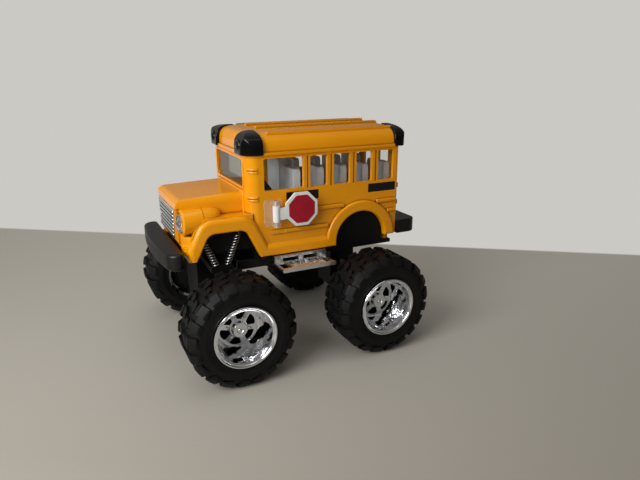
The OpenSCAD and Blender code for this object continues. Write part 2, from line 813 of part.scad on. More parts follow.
// Chassis and bumpers
module guide_bores() {
    for (s = [-1, 1])
        rod_z(front_plate_z - cut, guide_top + cut, front_x, s * guide_y, guide_d + 2 * run);
}
module chassis() {
    ledge_half = spring_head + coil_d + clear;
    color("#161616") difference() {
        union() {
            translate([chassis_x0, -chassis_y, chassis_z])
                cube([belly_x - chassis_x0, 2 * chassis_y, plate_t]);
            translate([pad_x - pad_l / 2, -pad_w / 2, chassis_z - pad_h])
                cube([pad_l, pad_w, pad_h + sink]);
            translate([belly_x - plate_t, -panel_y, chassis_z])
                cube([plate_t, 2 * panel_y, plate_top - chassis_z]);
            translate([belly_x - plate_t, -panel_y, front_plate_z])
                cube([panel_x1 - belly_x + plate_t, 2 * panel_y, plate_t]);
            translate([panel_x1 - sink, clear - front_opening_y, front_plate_z])
                cube([front_end_x - panel_x1 + sink, 2 * front_opening_y - 2 * clear, plate_t]);
            for (s = [-1, 1])
                rod_z(front_plate_z, guide_top, front_x, s * guide_y, guide_d + 4);
            both_sides() {
                translate([belly_x, panel_y - plate_t, front_plate_z])
                    cube([panel_x1 - belly_x, plate_t, ledge_z + plate_t - front_plate_z]);
                translate([front_x - ledge_half, panel_y - plate_t, ledge_z])
                    cube([2 * ledge_half, ledge_y - panel_y + plate_t, plate_t]);
                translate([rear_x - rear_arch_r + clear / 2, chassis_y - plate_t, chassis_z])
                    cube([2 * rear_arch_r + 4, plate_t, rear_arch_z + rear_arch_r + 1 - chassis_z]);
            }
            translate([tail_x - tongue_l, -tongue_w / 2, chassis_z])
                cube([chassis_x0 - tail_x + tongue_l + cut, tongue_w, rear_bumper_z - chassis_z]);
        }
        guide_bores();
        both_sides() for (x = [rear_post_x, front_post_x]) {
            rod_z(chassis_z - cut, plate_z + cut, x, post_y, screw_d + 2 * fit);
            rod_z(chassis_z - cut, chassis_z + screw_head_h, x, post_y, screw_head + 2 * fit);
        }
    }
}
module front_bumper() {
    half = front_bumper_w / 2;
    wrap_x = front_end_x - bumper_wrap;
    wrap_y = side_y - wall;
    color("#1c1c1c") intersection() {
        along_z(front_bumper_z, front_bumper_z + front_bumper_h) polygon(concat(
            [for (i = [-8:8]) [front_bumper_x - bumper_bow * pow(i / 8, 2), half * i / 8]],
            [[wrap_x, half], [wrap_x, wrap_y], [front_end_x, wrap_y - bumper_wrap],
             [front_end_x, bumper_wrap - wrap_y], [wrap_x, -wrap_y], [wrap_x, -half]]
        ));
        along_x(wrap_x, front_bumper_x) polygon(rounded(
            box(-half, half, front_bumper_z, front_bumper_z + front_bumper_h, 2.4)
        ));
        along_y(-half, half) polygon(rounded([
            [wrap_x, front_bumper_z, 0], [front_bumper_x, front_bumper_z, 2],
            [front_bumper_x, front_bumper_z + front_bumper_h, 1.6],
            [wrap_x, front_bumper_z + front_bumper_h, 0]
        ]));
    }
}
module rear_bumper() {
    half = rear_bumper_w / 2;
    color("#1c1c1c") intersection() {
        along_z(rear_bumper_z, rear_bumper_z + rear_bumper_h) polygon(rounded([
            [rear_bumper_x, -half, 1.5], [tail_x, -half, 0], [tail_x, half, 0], [rear_bumper_x, half, 1.5]
        ]));
        along_y(-half, half) polygon(rounded([
            [rear_bumper_x, rear_bumper_z, 1], [tail_x, rear_bumper_z, 0],
            [tail_x, rear_bumper_z + rear_bumper_h, 0], [rear_bumper_x, rear_bumper_z + rear_bumper_h, 1]
        ]));
    }
}
module grille() {
    bar_step = (grille_h - 2 * fit - 1.2) / grille_bars;
    color("#d8d8d8") difference() {
        along_x(nose_x - wall, nose_x + 0.9) polygon(grille_face(fit));
        for (i = [0:grille_bars - 1]) {
            z = grille_z + fit + 0.6 + i * bar_step + bar_step * 0.3;
            half = grille_w / 2 - grille_taper * (1 - (z - grille_z) / grille_h) - 1.1;
            translate([nose_x - wall + 0.6, -half, z]) cube([wall + cut, 2 * half, bar_step * 0.55]);
        }
    }
}
module headlight(side) {
    r = lamp_d / 2;
    rim_h = lamp_seat + 0.7;
    lens_r = r - 1.1;
    lens_h = 1.1;
    steps = 6;
    color("#e4e4e4") on_side(side) {
        rod_x(nose_x - wall - clear, nose_x - lamp_seat + fit, lamp_y, lamp_z, lamp_d / 2);
        translate([nose_x - lamp_seat, lamp_y, lamp_z]) rotate([0, 90, 0])
            rotate_extrude() polygon(concat(
                [[0, 0], [r, 0], [r, rim_h - 0.3], [r - 0.3, rim_h]],
                [[r - 0.7, rim_h], [lens_r + 0.2, lamp_seat + fit]],
                [for (i = [0:steps])
                    let (t = 90 * i / steps)
                    [lens_r * cos(t), lamp_seat + lens_h * sin(t)]]
            ));
    }
}

// Side steps: a slotted back plate hung under the rocker, with a cleated tread and open end loops
module side_step(side) {
    x0 = step_x - step_l / 2;
    x1 = step_x + step_l / 2;
    y0 = side_y + 1;
    y1 = side_y + step_out;
    bar = step_bar;
    post = 2 * bar;
    tab_w = 3;
    cleat_w = 0.7;
    slot_l = (step_l - 3 * post) / 2;
    color("#d8d8d8") on_side(side) {
        difference() {
            along_y(y0, y0 + bar) polygon(rounded(box(x0, x1, step_z, step_z + step_h, 0.4), 3));
            for (k = [-1, 1])
                translate([step_x + k * (slot_l + post) / 2 - slot_l / 2, y0 - cut, step_z + bar])
                    cube([slot_l, bar + 2 * cut, step_h - 2 * bar]);
        }
        for (x = [x0 + bar, x1 - bar - tab_w])
            translate([x, chassis_y, chassis_z]) cube([tab_w, y0 + sink - chassis_y, plate_t]);
        translate([step_x - tread_l / 2, y0 + sink, step_z]) cube([tread_l, y1 - y0 - sink, step_plate_t]);
        for (i = [0:cleats]) {
            x = step_x - tread_l / 2 + i * (tread_l - cleat_w) / cleats;
            translate([x, y0 + 2 * bar, step_z + sink])
                cube([cleat_w, y1 - y0 - 2 * bar, step_plate_t + clear]);
        }
        along_y(y1 - bar, y1)
            polygon(rounded(box(x0, x1, step_z - clear, step_z + step_plate_t + sink, 0.4), 3));
        for (x = [x0, x1 - bar])
            translate([x, y0 + sink, step_z]) cube([bar, y1 - y0 - sink - bar / 2, step_plate_t]);
    }
}

// Stop arm: clear bracket, steel pin and an octagon that swings out on it
module sign_bracket() {
    color("#dfe8ea", 0.5) difference() {
        union() {
            along_y(side_y, side_y + bracket_t) polygon(rounded(
                box(hinge_x - 1.1 * barrel_d, hinge_x + 1.4 * barrel_d, hinge_z, hinge_z + hinge_h, 1)
            ));
            for (z = [hinge_z, hinge_z + hinge_h - knuckle_h]) {
                rod_z(z, z + knuckle_h, hinge_x, hinge_y, barrel_d);
                translate([hinge_x - barrel_d / 2, side_y + sink, z])
                    cube([barrel_d, hinge_y - side_y - sink, knuckle_h]);
            }
        }
        rod_z(hinge_z - cut, hinge_z + hinge_h + cut, hinge_x, hinge_y, pin_d + 2 * press);
    }
}
module sign_pin() {
    color("silver") rod_z(hinge_z, hinge_z + hinge_h, hinge_x, hinge_y, pin_d);
}
module stop_sign() {
    z0 = hinge_z + knuckle_h + knuckle_gap;
    z1 = hinge_z + hinge_h - knuckle_h - knuckle_gap;
    y0 = hinge_y - fit;
    color("#c01828") difference() {
        union() {
            along_y(y0, y0 + sign_t) translate([hinge_x - sign_reach, sign_z])
                rotate(22.5) circle(d = sign_w / cos(22.5), $fn = 8);
            translate([hinge_x - sign_reach + sign_w / 2 - 1, y0, z0 + 1])
                cube([sign_reach - sign_w / 2 + 1, sign_t, z1 - z0 - 2]);
            rod_z(z0, z1, hinge_x, hinge_y, barrel_d);
        }
        rod_z(z0 - cut, z1 + cut, hinge_x, hinge_y, pin_d + 2 * run);
    }
}

// Front suspension: the carrier slides on two posts, pressed down by the springs
module front_carrier() {
    top = perch_z - perch_t;
    low = axle_z - axle_d - 1;
    perch_half = spring_foot + coil_d + clear;
    color("#161616") difference() {
        union() {
            along_x(front_x - column_l / 2, front_x + column_l / 2) polygon([
                [3 - column_w, low], [column_w - 3, low], [column_w, (low + top) / 2],
                [column_w, top + sink], [-column_w, top + sink], [-column_w, (low + top) / 2]
            ]);
            along_y(-ledge_y, ledge_y)
                polygon(rounded(box(front_x - perch_half, front_x + perch_half, top, perch_z, 0.8)));
            rod_y(-2 * column_w, 2 * column_w, front_x, axle_z, axle_d + 4);
            for (s = [-1, 1])
                rod_z(perch_z - sink, guide_top + fit, front_x, s * guide_y, guide_d);
        }
        rod_y(-3 * column_w, 3 * column_w, front_x, axle_z, axle_d + 2 * run);
        for (s = [-1, 1])
            rod_z(perch_z + 1, guide_top + cut, front_x, s * guide_y, screw_d + 2 * press);
    }
}
module guide_screws() {
    color("silver") for (s = [-1, 1]) {
        rod_z(guide_top - 4 * screw_d, guide_top + fit, front_x, s * guide_y, screw_d);
        rod_z(guide_top + fit, guide_top + fit + screw_head_h, front_x, s * guide_y, guide_d + screw_d);
    }
}

// One spring as an unbroken tube: straight foot, spiral out, coils, spiral in, straight head
function spring_ends(lean) = [
    [front_x + lean * spring_foot, spring_y, perch_z], [front_x + lean * spring_head, spring_y, ledge_z]
];
function spring_path(ends) =
    let (a = unit(ends[1] - ends[0]), u = [a.z, 0, -a.x], v = [0, 1, 0])
    let (foot = ends[0] + [0, 0, wire_d], head = ends[1] - [0, 0, wire_d], r = (coil_d - wire_d) / 2)
    concat(
        [[ends[0], u]],
        [for (i = [0:all_turns * rings])
            let (t = i / (all_turns * rings), ang = 360 * i / rings)
            let (grow = min(1, 2 * i / rings, 2 * (all_turns - i / rings)), out = cos(ang) * u + sin(ang) * v)
            [foot + (head - foot) * t + r * grow * out, out]],
        [[ends[1], u]]
    );
function ring(path, i) =
    let (n = len(path), p = path[i][0])
    let (raw = path[min(i + 1, n - 1)][0] - path[max(i - 1, 0)][0])
    let (t = i == 0 || i == n - 1 ? [0, 0, 1] : unit(raw))
    let (side = unit(path[i][1] - (path[i][1] * t) * t), up = cross(t, side))
    [for (k = [0:sides - 1]) p + wire_d / 2 * (cos(360 * k / sides) * side + sin(360 * k / sides) * up)];
function self_gap(path) =
    let (n = len(path), far = floor(rings * 0.6))
    min([for (i = [0:n - 1 - far]) for (j = [i + far:n - 1]) norm(path[i][0] - path[j][0])]) - wire_d;
module spring(side, lean) {
    path = spring_path(spring_ends(lean));
    n = len(path);
    points = [for (i = [0:n - 1]) each ring(path, i)];
    walls = [for (i = [0:n - 2]) for (k = [0:sides - 1])
        let (a = i * sides + k, b = i * sides + (k + 1) % sides)
        each [[a, a + sides, b], [b, a + sides, b + sides]]];
    caps = [for (k = [1:sides - 2])
        each [[0, k, k + 1], [(n - 1) * sides, (n - 1) * sides + k + 1, (n - 1) * sides + k]]];
    echo(spring_self_gap = self_gap(path));
    color("silver") on_side(side) polyhedron(points, concat(walls, caps));
}

// Wheels: drawn with +Z outboard, then turned onto the axle
module at_wheel(x, side) {
    translate([x, side * track / 2, axle_z]) rotate([-90 * side, 0, 0]) children();
}
module tread_row(offset_turn) {
    share = lug_share * 180 / lug_count;
    inner = tyre_r - lug_h - 0.5;
    outer = tyre_r + 1;
    linear_extrude(tyre_w / 2) difference() {
        circle(r = outer);
        for (k = [0:lug_count - 1])
            rotate(90 + (k + 0.5 + offset_turn) * 360 / lug_count)
                translate([inner + 0.5, -(180 / lug_count - share) * PI / 180 * tyre_r])
                    square([2 * lug_h + 1, 2 * (180 / lug_count - share) * PI / 180 * tyre_r]);
    }
}
module tyre(x, side) {
    half = tyre_w / 2;
    bore_r = rim_r + press;
    bead_r = rim_r * 1.22;
    color("#121212") at_wheel(x, side) intersection() {
        rotate_extrude() polygon(rounded([
            [bore_r, -half + rim_step, 0], [bead_r, -half, 1],
            [tyre_r - lug_h, -half + 0.4, 1], [tyre_r, -half + lug_h + 0.2, 0.6],
            [tyre_r, half - lug_h - 0.2, 0.6], [tyre_r - lug_h, half - 0.4, 1],
            [bead_r, half, 1], [bore_r, half - rim_step, 0]
        ]));
        union() {
            tread_row(0);
            mirror([0, 0, 1]) tread_row(0.5);
        }
    }
}
module rim(x, side) {
    half = tyre_w / 2;
    face = half - dish_h;
    well = rim_r - rim_wall;
    inner = rim_step - half;
    bore = axle_d / 2 + press;
    cap = half - hub_inset;
    color("#d0d0d0") at_wheel(x, side) difference() {
        rotate_extrude() polygon([
            [bore, inner], [hub_r, inner], [hub_r, face - spoke_t], [well, face - spoke_t], [well, inner],
            [rim_r, inner], [rim_r, half - 0.4], [rim_r - 0.4, half],
            [well - 0.6, half - 0.2], [well, half - 1.4],
            [well, face], [hub_r, face], [hub_r, cap - 1], [hub_r - 1, cap], [0, cap], [0, cap - hub_inset],
            [bore, cap - hub_inset]
        ]);
        for (k = [0:spokes - 1])
            rotate((k + 0.5) * 360 / spokes) translate([0, 0, face - spoke_t - cut])
                linear_extrude(spoke_t + 2 * cut) polygon(rounded(spoke_window(well - 0.7)));
    }
}
function spoke_window(outer) =
    let (half = 180 / spokes, inner = hub_r + 0.9, w = spoke_w / 2)
    let (y0 = inner * tan(half) - w / cos(half), y1 = outer * sin(half) - w)
    [[inner, -y0, 0.3], [outer * cos(half) + w * tan(half) / 2, -y1, 0.6], [outer, 0, 0],
     [outer * cos(half) + w * tan(half) / 2, y1, 0.6], [inner, y0, 0.3]];
module axle(x) {
    reach = track / 2 + tyre_w / 2 - 2 * hub_inset - fit;
    color("silver") rod_y(-reach, reach, x, axle_z, axle_d);
}

// Pull-back motor: pinion on the rear axle, winding gear on its arbor, spiral spring in the case
function involute(a) = tan(a) * 180 / PI - a;
function gear_outline(teeth, spin) =
    let (pa = 25, rp = gear_m * teeth / 2, rb = rp * cos(pa), ra = rp + 0.72 * gear_m, rf = rp - 1.0 * gear_m)
    let (half = 90 / teeth - 3.2 / rp + involute(pa), steps = 4)
    [for (k = [0:teeth - 1])
        let (mid = spin + 360 * k / teeth)
        each concat(
            [rf * [cos(mid - half), sin(mid - half)]],
            [for (i = [0:steps])
                let (r = rb + (ra - rb) * i / steps, a = half - involute(acos(min(1, rb / r))))
                r * [cos(mid - a), sin(mid - a)]],
            [for (i = [steps:-1:0])
                let (r = rb + (ra - rb) * i / steps, a = half - involute(acos(min(1, rb / r))))
                r * [cos(mid + a), sin(mid + a)]],
            [rf * [cos(mid + half), sin(mid + half)]]
        )];
module motor_outline(inset) {
    x = motor_l / 2 - inset;
    polygon(rounded(box(rear_x - x, rear_x + x, motor_z + inset, chassis_z - inset, inset > 0 ? 1 : 2)));
}
module motor_case(side) {
    half = motor_w / 2;
    color("#1a1a1a") on_side(side) difference() {
        union() {
            along_y(0, half) motor_outline(0);
            rod_y(half - sink, half + bearing_l, rear_x, axle_z, axle_d + 2 * wall);
        }
        along_y(-cut, half - motor_wall) motor_outline(motor_wall);
        rod_y(-cut, half + bearing_l + cut, rear_x, axle_z, axle_d + 2 * run);
        rod_y(-cut, half + cut, rear_x, arbor_z, arbor_d + 2 * run);
    }
}
module drive_pinion() {
    color("ivory") along_y(-gear_w / 2, gear_w / 2) translate([rear_x, axle_z]) difference() {
        polygon(gear_outline(pinion_teeth, 90));
        circle(d = axle_d + 2 * press);
    }
}
module winding_gear() {
    color("ivory") along_y(-gear_w / 2, gear_w / 2) translate([rear_x, arbor_z]) difference() {
        polygon(gear_outline(winding_teeth, 270 + 180 / winding_teeth));
        circle(d = arbor_d + 2 * press);
    }
}
module winding_arbor() {
    half = motor_w / 2 - fit;
    color("silver") rod_y(-half, half, rear_x, arbor_z, arbor_d);
}
module mainspring() {
    strip = 0.3;
    r0 = arbor_d / 2 + strip + fit;
    hook = motor_l / 2 - motor_wall - fit;
    r1 = hook - 2 * strip;
    steps = 20 * spring_turns;
    spiral = [for (i = [0:steps]) let (t = i / steps) [r0 + (r1 - r0) * t, 360 * spring_turns * t]];
    y0 = gear_w / 2 + clear;
    color("silver") along_y(y0, motor_w / 2 - motor_wall - fit) translate([rear_x, arbor_z]) polygon(concat(
        [for (p = spiral) p[0] * [cos(p[1]), sin(p[1])]],
        [[r1, strip], [hook, strip], [hook, 0]],
        [for (i = [steps:-1:0]) (spiral[i][0] + strip) * [cos(spiral[i][1]), sin(spiral[i][1])]]
    ));
}
module base_screws() {
    color("silver") both_sides() for (x = [rear_post_x, front_post_x]) {
        rod_z(chassis_z + screw_head_h - 0.2, floor_z - wall - 1, x, post_y, screw_d);
        rod_z(chassis_z, chassis_z + screw_head_h, x, post_y, screw_head);
    }
}

body_shell();
roof();
lamp_pod_front(1);  // lamp_pod_front_left
lamp_pod_front(-1);  // lamp_pod_front_right
lamp_pod_rear(1);  // lamp_pod_rear_left
lamp_pod_rear(-1);  // lamp_pod_rear_right
glazing();
seat_moulding();
dashboard();
chassis();
front_bumper();
rear_bumper();
grille();
headlight(1);  // headlight_left
headlight(-1);  // headlight_right
side_step(1);  // side_step_left
side_step(-1);  // side_step_right
sign_bracket();
sign_pin();
stop_sign();
front_carrier();
guide_screws();
axle(front_x);  // front_axle
axle(rear_x);  // rear_axle
tyre(front_x, 1);  // tyre_front_left
tyre(front_x, -1);  // tyre_front_right
tyre(rear_x, 1);  // tyre_rear_left
tyre(rear_x, -1);  // tyre_rear_right
rim(front_x, 1);  // rim_front_left
rim(front_x, -1);  // rim_front_right
rim(rear_x, 1);  // rim_rear_left
rim(rear_x, -1);  // rim_rear_right
spring(1, 1);  // spring_left_fore
spring(1, -1);  // spring_left_aft
spring(-1, 1);  // spring_right_fore
spring(-1, -1);  // spring_right_aft
motor_case(1);  // motor_case_left
motor_case(-1);  // motor_case_right
drive_pinion();
winding_gear();
winding_arbor();
mainspring();
base_screws();
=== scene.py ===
# %% [markdown]
# # A toy school bus on big wheels
# The imported construction is loaded as a fixed frame. Every piece below is modelled in place around it, in
# metres, with X forward, Y to the bus's left and Z up.

# %% Load the frame
import json
import math

import bpy
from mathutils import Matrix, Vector


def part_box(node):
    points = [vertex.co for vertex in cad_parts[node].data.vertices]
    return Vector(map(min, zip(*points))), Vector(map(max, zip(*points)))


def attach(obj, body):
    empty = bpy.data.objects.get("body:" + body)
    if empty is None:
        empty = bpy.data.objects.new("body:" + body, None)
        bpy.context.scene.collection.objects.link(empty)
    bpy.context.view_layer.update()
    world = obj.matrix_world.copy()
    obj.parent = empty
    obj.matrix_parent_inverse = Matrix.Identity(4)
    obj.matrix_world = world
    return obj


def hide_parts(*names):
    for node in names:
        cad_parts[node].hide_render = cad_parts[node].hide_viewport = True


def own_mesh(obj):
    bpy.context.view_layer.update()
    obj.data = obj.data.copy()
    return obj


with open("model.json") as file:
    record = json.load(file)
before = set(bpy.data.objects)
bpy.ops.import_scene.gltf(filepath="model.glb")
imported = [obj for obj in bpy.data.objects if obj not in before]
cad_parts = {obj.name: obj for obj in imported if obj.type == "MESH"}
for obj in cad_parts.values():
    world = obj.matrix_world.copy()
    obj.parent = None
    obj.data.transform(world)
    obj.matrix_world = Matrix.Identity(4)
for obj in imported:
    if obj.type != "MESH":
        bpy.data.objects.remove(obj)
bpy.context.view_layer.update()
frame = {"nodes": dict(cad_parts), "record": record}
MM = 0.001

# %% [markdown]
# ## Selecting by place
# An operator acts on all that is selected, so each helper first clears the selection. Faces, edges and points
# are picked by where they are, in millimetres, which is what a person does with the mouse. They could be
# picked by number, but numbers change with every cut and places don't.

# %% Selecting
def only(piece):
    bpy.ops.object.select_all(action="DESELECT")
    piece.select_set(True)
    bpy.context.view_layer.objects.active = piece
    return piece


def anywhere(*place):
    return True


def pick(piece, kind, wanted):
    only(piece)
    bpy.ops.object.mode_set(mode="EDIT")
    bpy.ops.mesh.select_mode(type=kind)
    bpy.ops.mesh.select_all(action="DESELECT")
    bpy.ops.object.mode_set(mode="OBJECT")
    mesh = piece.data
    at = [v.co / MM for v in mesh.vertices]
    if kind == "VERT":
        for v in mesh.vertices:
            v.select = wanted(at[v.index])
    if kind == "EDGE":
        for e in mesh.edges:
            e.select = wanted(at[e.vertices[0]], at[e.vertices[1]])
    if kind == "FACE":
        for f in mesh.polygons:
            f.select = wanted(f.center / MM, f.normal)
    bpy.ops.object.mode_set(mode="EDIT")


def leave_edit():
    bpy.ops.object.mode_set(mode="OBJECT")


print("picks by point, edge or face")

# %% [markdown]
# ## Finishing by modifier
# A modifier is added, set and applied at once, so the mesh itself holds the shape. The two most used are
# Bevel, which rolls the edges over as a die's radius does, and Boolean, which joins or cuts one piece with
# another.

# %% Modifiers, joins and copies
def modify(piece, kind, **settings):
    only(piece)
    modifier = piece.modifiers.new(kind.title(), kind)
    for name, value in settings.items():
        setattr(modifier, name, value)
    bpy.ops.object.modifier_apply(modifier=modifier.name)
    return piece


def roll_edges(piece, width, segments, angle=30):
    return modify(piece, "BEVEL", width=width * MM, segments=segments, limit_method="ANGLE",
                  angle_limit=math.radians(angle))


def combine(piece, tool, operation):
    modify(piece, "BOOLEAN", operation=operation, object=tool, solver="MANIFOLD")
    bpy.data.objects.remove(tool)
    return piece


def settle(name):
    piece = bpy.context.object
    piece.name = piece.data.name = name
    bpy.ops.object.transform_apply(location=True, rotation=True, scale=True)
    return only(piece)


def join(name, pieces):
    bpy.ops.object.select_all(action="DESELECT")
    for piece in pieces:
        piece.select_set(True)
    bpy.context.view_layer.objects.active = pieces[0]
    bpy.ops.object.join()
    pieces[0].name = pieces[0].data.name = name
    return pieces[0]


def twin(piece, name):
    only(piece)
    bpy.ops.object.duplicate(linked=False)
    bpy.context.object.name = bpy.context.object.data.name = name
    return bpy.context.object


def face_outwards(piece):
    pick(piece, "VERT", anywhere)
    bpy.ops.mesh.normals_make_consistent(inside=False)
    leave_edit()
    return piece


print("finishes by bevel, boolean, join and copy")

# %% [markdown]
# ## Three ways to start a piece
# Most pieces of a moulded toy are a block, a bar with an outline, or a part turned round an axis. A block is
# a cube primitive. An outline is a circle primitive whose points are put on the outline, then filled and
# extruded. A turned part is a circle primitive put on its half section and spun. The axis of a turned part is
# Y, as a wheel's is.

# %% Block, outline and turned part
weld = 0.002 * MM


def block(name, low, high):
    sides = [sorted(pair) for pair in zip(low, high)]
    low, high = Vector([pair[0] for pair in sides]) * MM, Vector([pair[1] for pair in sides]) * MM
    bpy.ops.mesh.primitive_cube_add(size=1, location=(low + high) / 2, scale=high - low)
    return settle(name)


def ring_of_points(name, points):
    bpy.ops.mesh.primitive_circle_add(vertices=len(points), radius=1)
    piece = settle(name)
    for vertex, point in zip(piece.data.vertices, points):
        vertex.co = Vector(point) * MM
    return piece


def outline(name, points, along, low, high):
    axis = "xyz".index(along)
    flat = [list(point) for point in points]
    for point in flat:
        point.insert(axis, low)
    way = Vector([high - low if i == axis else 0 for i in range(3)])
    piece = ring_of_points(name, flat)
    pick(piece, "VERT", anywhere)
    bpy.ops.mesh.edge_face_add()
    bpy.ops.mesh.extrude_region_move(TRANSFORM_OT_translate={"value": way * MM})
    leave_edit()
    return face_outwards(piece)


def turned(name, section, steps):
    piece = ring_of_points(name, [(r, y, 0) for r, y in section])
    pick(piece, "VERT", anywhere)
    bpy.ops.mesh.spin(steps=steps, angle=2 * math.pi, center=(0, 0, 0), axis=(0, 1, 0))
    bpy.ops.mesh.select_all(action="SELECT")
    bpy.ops.mesh.remove_doubles(threshold=weld)
    bpy.ops.mesh.dissolve_degenerate(threshold=weld / 2)
    leave_edit()
    return face_outwards(piece)


print("starts from a block, an outline or a turned section")

# %% [markdown]
# ## Finishes
# Each material starts from what the real one is. Colours are written as on a screen and made linear by one
# function, and a pattern's scale is one over its real size, because Object coordinates are in metres. The
# patterns are procedural and lie in the object's own space, so they stay in place when a piece moves.

# %% Material helpers
def linear(code):
    parts = [int(code[i:i + 2], 16) / 255 for i in (1, 3, 5)]
    return (*[p / 12.92 if p <= 0.04045 else ((p + 0.055) / 1.055) ** 2.4 for p in parts], 1)


def per_mm(size):
    return 1 / (size * MM)


def add_node(material, kind, values=None, links=None):
    made = material.node_tree.nodes.new("ShaderNode" + kind)
    for name, value in (values or {}).items():
        if isinstance(name, int) or name in made.inputs:
            made.inputs[name].default_value = value
        else:
            setattr(made, name, value)
    for name, source in (links or {}).items():
        material.node_tree.links.new(source, made.inputs[name])
    return made


def new_material(name, values):
    material = bpy.data.materials.new(name)
    material.use_nodes = True
    shader = material.node_tree.nodes["Principled BSDF"]
    for socket, value in values.items():
        shader.inputs[socket].default_value = value
    place = add_node(material, "TexCoord").outputs["Object"]
    return material, shader, place


print("white is", linear("#ffffff"))

# %% [markdown]
# ### Printed bands
# The black bands along the sides are pad printed on the paint. They could be thin pieces of their own, but
# ink has no thickness to see, so each band is a range of X and Z on the flat of the sides, worked out in the
# enamel itself.

# %% Printed bands
band_y, band_z = (24.0, 24.8), (69.1, 73.1)
bands_x = [(-8.5, 6.9), (-48.5, -33.8)]


def within(material, value, low, high):
    above = add_node(material, "Math", {"operation": "GREATER_THAN", 1: low * MM}, {0: value}).outputs[0]
    below = add_node(material, "Math", {"operation": "LESS_THAN", 1: high * MM}, {0: value}).outputs[0]
    return add_node(material, "Math", {"operation": "MULTIPLY"}, {0: above, 1: below}).outputs[0]


def band_ink(material, place):
    xyz = add_node(material, "SeparateXYZ", {}, {0: place})
    side = add_node(material, "Math", {"operation": "ABSOLUTE"}, {0: xyz.outputs["Y"]}).outputs[0]
    on_side = within(material, side, *band_y)
    in_height = within(material, xyz.outputs["Z"], *band_z)
    level = add_node(material, "Math", {"operation": "MULTIPLY"}, {0: on_side, 1: in_height}).outputs[0]
    front, rear = [within(material, xyz.outputs["X"], *band) for band in bands_x]
    either = add_node(material, "Math", {"operation": "MAXIMUM"}, {0: front, 1: rear}).outputs[0]
    return add_node(material, "Math", {"operation": "MULTIPLY"}, {0: level, 1: either}).outputs[0]


print("bands along x", bands_x, "at height", band_z)

# %% [markdown]
# ### Enamel on zinc
# The casting is sprayed with gloss enamel. Ambient Occlusion over a millimetre and a half darkens the corners
# towards brown, which is painted shade. A faint noise gives the orange peel of sprayed paint, which breaks up
# the highlights a little. The roof takes the same paint with no bands.

# %% Yellow enamel
def yellow_enamel(name, banded):
    # A warm, deep yellow under a clear gloss: small sharp highlights, and painted shade as brown lines in the
    # corners.
    material, shader, place = new_material(name, {
        "Coat Weight": 0.4, "Coat Roughness": 0.05, "Specular IOR Level": 0.3})
    peel = add_node(material, "TexNoise", {"Scale": per_mm(1.6), "Detail": 2.0},
                    {"Vector": place}).outputs["Fac"]
    pool = add_node(material, "TexNoise", {"Scale": per_mm(14), "Detail": 3.0},
                    {"Vector": place}).outputs["Fac"]
    thin = add_node(material, "MapRange", {"From Min": 0.3, "From Max": 0.7}, {"Value": pool}).outputs[0]
    coat = add_node(material, "Mix", {"data_type": "RGBA", 6: linear("#f09900"), 7: linear("#f39f00")},
                    {0: thin})
    # Painted shade: Ambient Occlusion tints the corners brown.
    corner = add_node(material, "AmbientOcclusion", {"Distance": 1.5 * MM, "samples": 8, "only_local": True})
    depth = add_node(material, "MapRange", {"From Min": 0.35, "From Max": 0.88},
                     {"Value": corner.outputs["AO"]})
    shaded_paint = add_node(material, "Mix", {"data_type": "RGBA", 6: linear("#6e4f05")},
                     {0: depth.outputs[0], 7: coat.outputs[2]}).outputs[2]
    if banded:
        shaded_paint = add_node(material, "Mix", {"data_type": "RGBA", 7: linear("#0b0b0d")},
                         {0: band_ink(material, place), 6: shaded_paint}).outputs[2]
    bump = add_node(material, "Bump", {"Strength": 0.05, "Distance": 0.05 * MM}, {"Height": peel}).outputs[0]
    gloss = add_node(material, "MapRange", {"To Min": 0.18, "To Max": 0.3}, {"Value": peel}).outputs[0]
    for socket, source in (("Base Color", shaded_paint), ("Normal", bump), ("Roughness", gloss)):
        material.node_tree.links.new(source, shader.inputs[socket])
    return material


enamel = yellow_enamel("yellow_enamel_on_zinc", True)
roof_enamel = yellow_enamel("yellow_enamel_on_zinc_roof", False)
print("enamels", enamel.name, roof_enamel.name)

# %% [markdown]
# ### Plastics, plating, rubber and steel
# The other finishes differ in colour, gloss and grain, so one function makes them all. Moulded plastic keeps
# the fine grain of its tool, plated plastic is a mirror with a slow wave in it, and rubber is matt. A grain
# finer than a third of a millimetre wouldn't show at this distance, so the grains are drawn that coarse or
# coarser.

# %% Plain moulded and plated finishes
def moulded(name, light, dark, patch, grain, rough, lift, **shader_values):
    sockets = {socket.replace("_", " "): value for socket, value in shader_values.items()}
    material, shader, place = new_material(name, sockets)
    cloud = add_node(material, "TexNoise", {"Scale": per_mm(patch), "Detail": 3.0},
                     {"Vector": place}).outputs["Fac"]
    speck = add_node(material, "TexNoise", {"Scale": per_mm(grain), "Detail": 2.0},
                     {"Vector": place}).outputs["Fac"]
    share = add_node(material, "MapRange", {"From Min": 0.35, "From Max": 0.65}, {"Value": cloud}).outputs[0]
    tone = add_node(material, "Mix", {"data_type": "RGBA", 6: linear(dark), 7: linear(light)},
                    {0: share}).outputs[2]
    gloss = add_node(material, "MapRange", {"To Min": rough[0], "To Max": rough[1]},
                     {"Value": cloud}).outputs[0]
    bump = add_node(material, "Bump", {"Strength": lift, "Distance": grain * 0.2 * MM},
                    {"Height": speck}).outputs[0]
    for socket, source in (("Base Color", tone), ("Normal", bump), ("Roughness", gloss)):
        material.node_tree.links.new(source, shader.inputs[socket])
    return material


# Bright plating: a clear mirror whose slow waves break the room into patches.
chrome = moulded("chrome_plated_abs", "#f0f1f4", "#e2e3e6", 6, 2.2, (0.04, 0.1), 0.22, Metallic=1.0)
# Satin plating: the same metal over a rough tool, so it looks pale grey rather than mirrored.
satin_chrome = moulded("satin_plated_abs", "#f4f4f4", "#e8e8e8", 4, 0.8, (0.2, 0.32), 0.3, Metallic=1.0)
